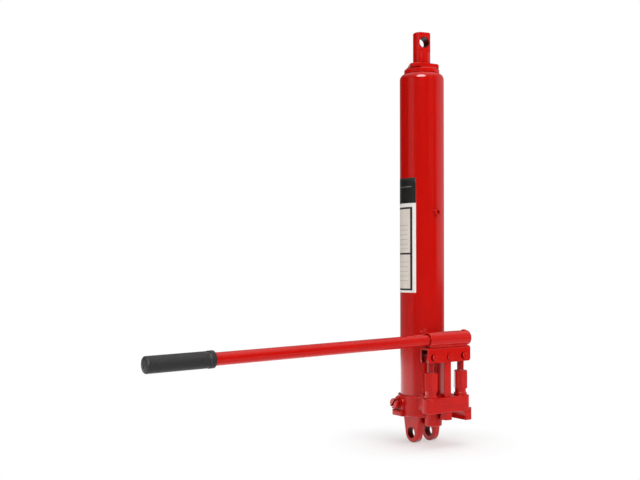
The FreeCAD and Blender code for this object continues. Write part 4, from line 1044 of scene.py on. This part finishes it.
class RAM_OT_rocker(bpy.types.Operator):
    """Paints the post, channel, socket, pins and clips"""
    bl_idname = "ram.rocker"
    bl_label = "Post and rocker"

    def execute(self, context):
        scene = context.scene
        # The inside of the channel gets painted shade.
        channel = gloss_red("red channel", scene, gloss=scene.ram_paint.cast_gloss, hollow=True)
        dress(["rocker_channel"], channel)
        dress(["handle_socket", "handle_stop_rivet"], gloss_red("red rocker", scene))
        dress(["fulcrum_post", "fulcrum_nut", "fulcrum_pin", "fulcrum_clip", "plunger_pin_left",
               "plunger_pin_right", "plunger_clip_left", "plunger_clip_right"],
              gloss_red("red pins", scene, rub=1.3))
        return {"FINISHED"}


class RAM_OT_welds(bpy.types.Operator):
    """Models the rippled beads between the socket and the channel"""
    bl_idname = "ram.welds"
    bl_label = "Weld beads"

    def execute(self, context):
        material = gloss_red("red weld", context.scene)
        dress(["socket_welds"], material)
        beads = build_beads(context.scene.ram_welds, material)
        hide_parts("socket_welds")
        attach(beads, "rocker")
        return {"FINISHED"}


class RAM_OT_handle(bpy.types.Operator):
    """Paints the handle's tube"""
    bl_idname = "ram.handle"
    bl_label = "Handle"

    def execute(self, context):
        dress(["handle_tube"], gloss_red("red handle", context.scene, rub=0.8, gloss=0.42))
        return {"FINISHED"}


class RAM_OT_grip(bpy.types.Operator):
    """Models the moulded grip on the handle"""
    bl_idname = "ram.grip"
    bl_label = "Grip"

    def execute(self, context):
        look = context.scene.ram_rubber
        material = rubber("grip rubber", look, look.grip, look.roughness, depth=0.000016)
        dress(["handle_grip"], material)
        grip = build_grip(context.scene.ram_grip, material)
        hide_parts("handle_grip")
        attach(grip, "handle")
        return {"FINISHED"}


class RAM_OT_release(bpy.types.Operator):
    """Paints the release screw and its gland"""
    bl_idname = "ram.release"
    bl_label = "Release valve"

    def execute(self, context):
        dress(["release_screw", "release_gland"], gloss_red("red valve", context.scene, rub=1.4))
        return {"FINISHED"}


class RAM_OT_valves(bpy.types.Operator):
    """Finishes the balls, springs and strainers inside the base"""
    bl_idname = "ram.valves"
    bl_label = "Inner valves"

    def execute(self, context):
        steel = context.scene.ram_steel
        dress(["delivery_ball", "delivery_spring", "release_ball", "relief_ball", "relief_spring",
               "relief_screw", "suction_balls"],
              bare_metal("valve steel", steel, steel.ground, 0.18))
        dress(["suction_strainers"], bare_metal("strainer brass", steel, steel.brass, 0.35))
        return {"FINISHED"}


class RAM_OT_label(bpy.types.Operator):
    """Wraps the printed sheet round the tank"""
    bl_idname = "ram.label"
    bl_label = "Label"

    def execute(self, context):
        sizes = context.scene.ram_label
        materials = [print_ink("label margin", sizes.paper),
                     print_ink("label ink", sizes.ink, 0.28),
                     print_ink("label field", sizes.field),
                     print_ink("label grey", sizes.grey)]
        sheet = build_label(sizes, materials)
        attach(sheet, "root")
        return {"FINISHED"}


class RAM_OT_stage(bpy.types.Operator):
    """Sets up the floor, lamps, surroundings and camera"""
    bl_idname = "ram.stage"
    bl_label = "Stage"

    def execute(self, context):
        look = context.scene.ram_stage
        context.scene.view_settings.view_transform = "Standard"
        build_floor(look)
        build_surroundings(look)
        for name, (size, place) in LAMPS.items():
            area_lamp(name + "_lamp", size, place, getattr(look, name))
        build_camera()
        return {"FINISHED"}


class RAM_PT_panel(bpy.types.Panel):
    """Lists the ram's settings and steps"""
    bl_idname = "RAM_PT_panel"
    bl_label = "Hydraulic ram"
    bl_space_type = "VIEW_3D"
    bl_region_type = "UI"
    bl_category = "Ram"

    def draw(self, context):
        layout = self.layout
        for operator in OPERATORS:
            layout.operator(operator.bl_idname)
        for name in SETTINGS:
            box = layout.box()
            box.label(text=name.replace("ram_", "").capitalize())
            group = getattr(context.scene, name)
            for key in group.__annotations__:
                box.prop(group, key)


SETTINGS = {"ram_paint": PaintLook, "ram_steel": SteelLook, "ram_rubber": RubberLook,
            "ram_grip": GripSizes, "ram_label": LabelSizes, "ram_welds": WeldSizes,
            "ram_stage": StageLook}
OPERATORS = (RAM_OT_prepare, RAM_OT_castings, RAM_OT_tank, RAM_OT_rod, RAM_OT_seals, RAM_OT_pumps,
             RAM_OT_rocker, RAM_OT_welds, RAM_OT_handle, RAM_OT_grip, RAM_OT_release,
             RAM_OT_valves, RAM_OT_label, RAM_OT_stage)


def register():
    """Adds the settings, the steps and the panel."""
    for name, group in SETTINGS.items():
        bpy.utils.register_class(group)
        setattr(bpy.types.Scene, name, PointerProperty(type=group))
    for operator in OPERATORS:
        bpy.utils.register_class(operator)
    bpy.utils.register_class(RAM_PT_panel)


def unregister():
    """Takes the panel, the steps and the settings away."""
    bpy.utils.unregister_class(RAM_PT_panel)
    for operator in reversed(OPERATORS):
        bpy.utils.unregister_class(operator)
    for name, group in SETTINGS.items():
        delattr(bpy.types.Scene, name)
        bpy.utils.unregister_class(group)


def main():
    """Registers the add-on and makes every piece."""
    register()
    bpy.ops.ram.prepare()
    bpy.ops.ram.castings()
    bpy.ops.ram.tank()
    bpy.ops.ram.rod()
    bpy.ops.ram.seals()
    bpy.ops.ram.pumps()
    bpy.ops.ram.rocker()
    bpy.ops.ram.welds()
    bpy.ops.ram.handle()
    bpy.ops.ram.grip()
    bpy.ops.ram.release()
    bpy.ops.ram.valves()
    bpy.ops.ram.label()
    bpy.ops.ram.stage()


if __name__ == "__main__":
    main()
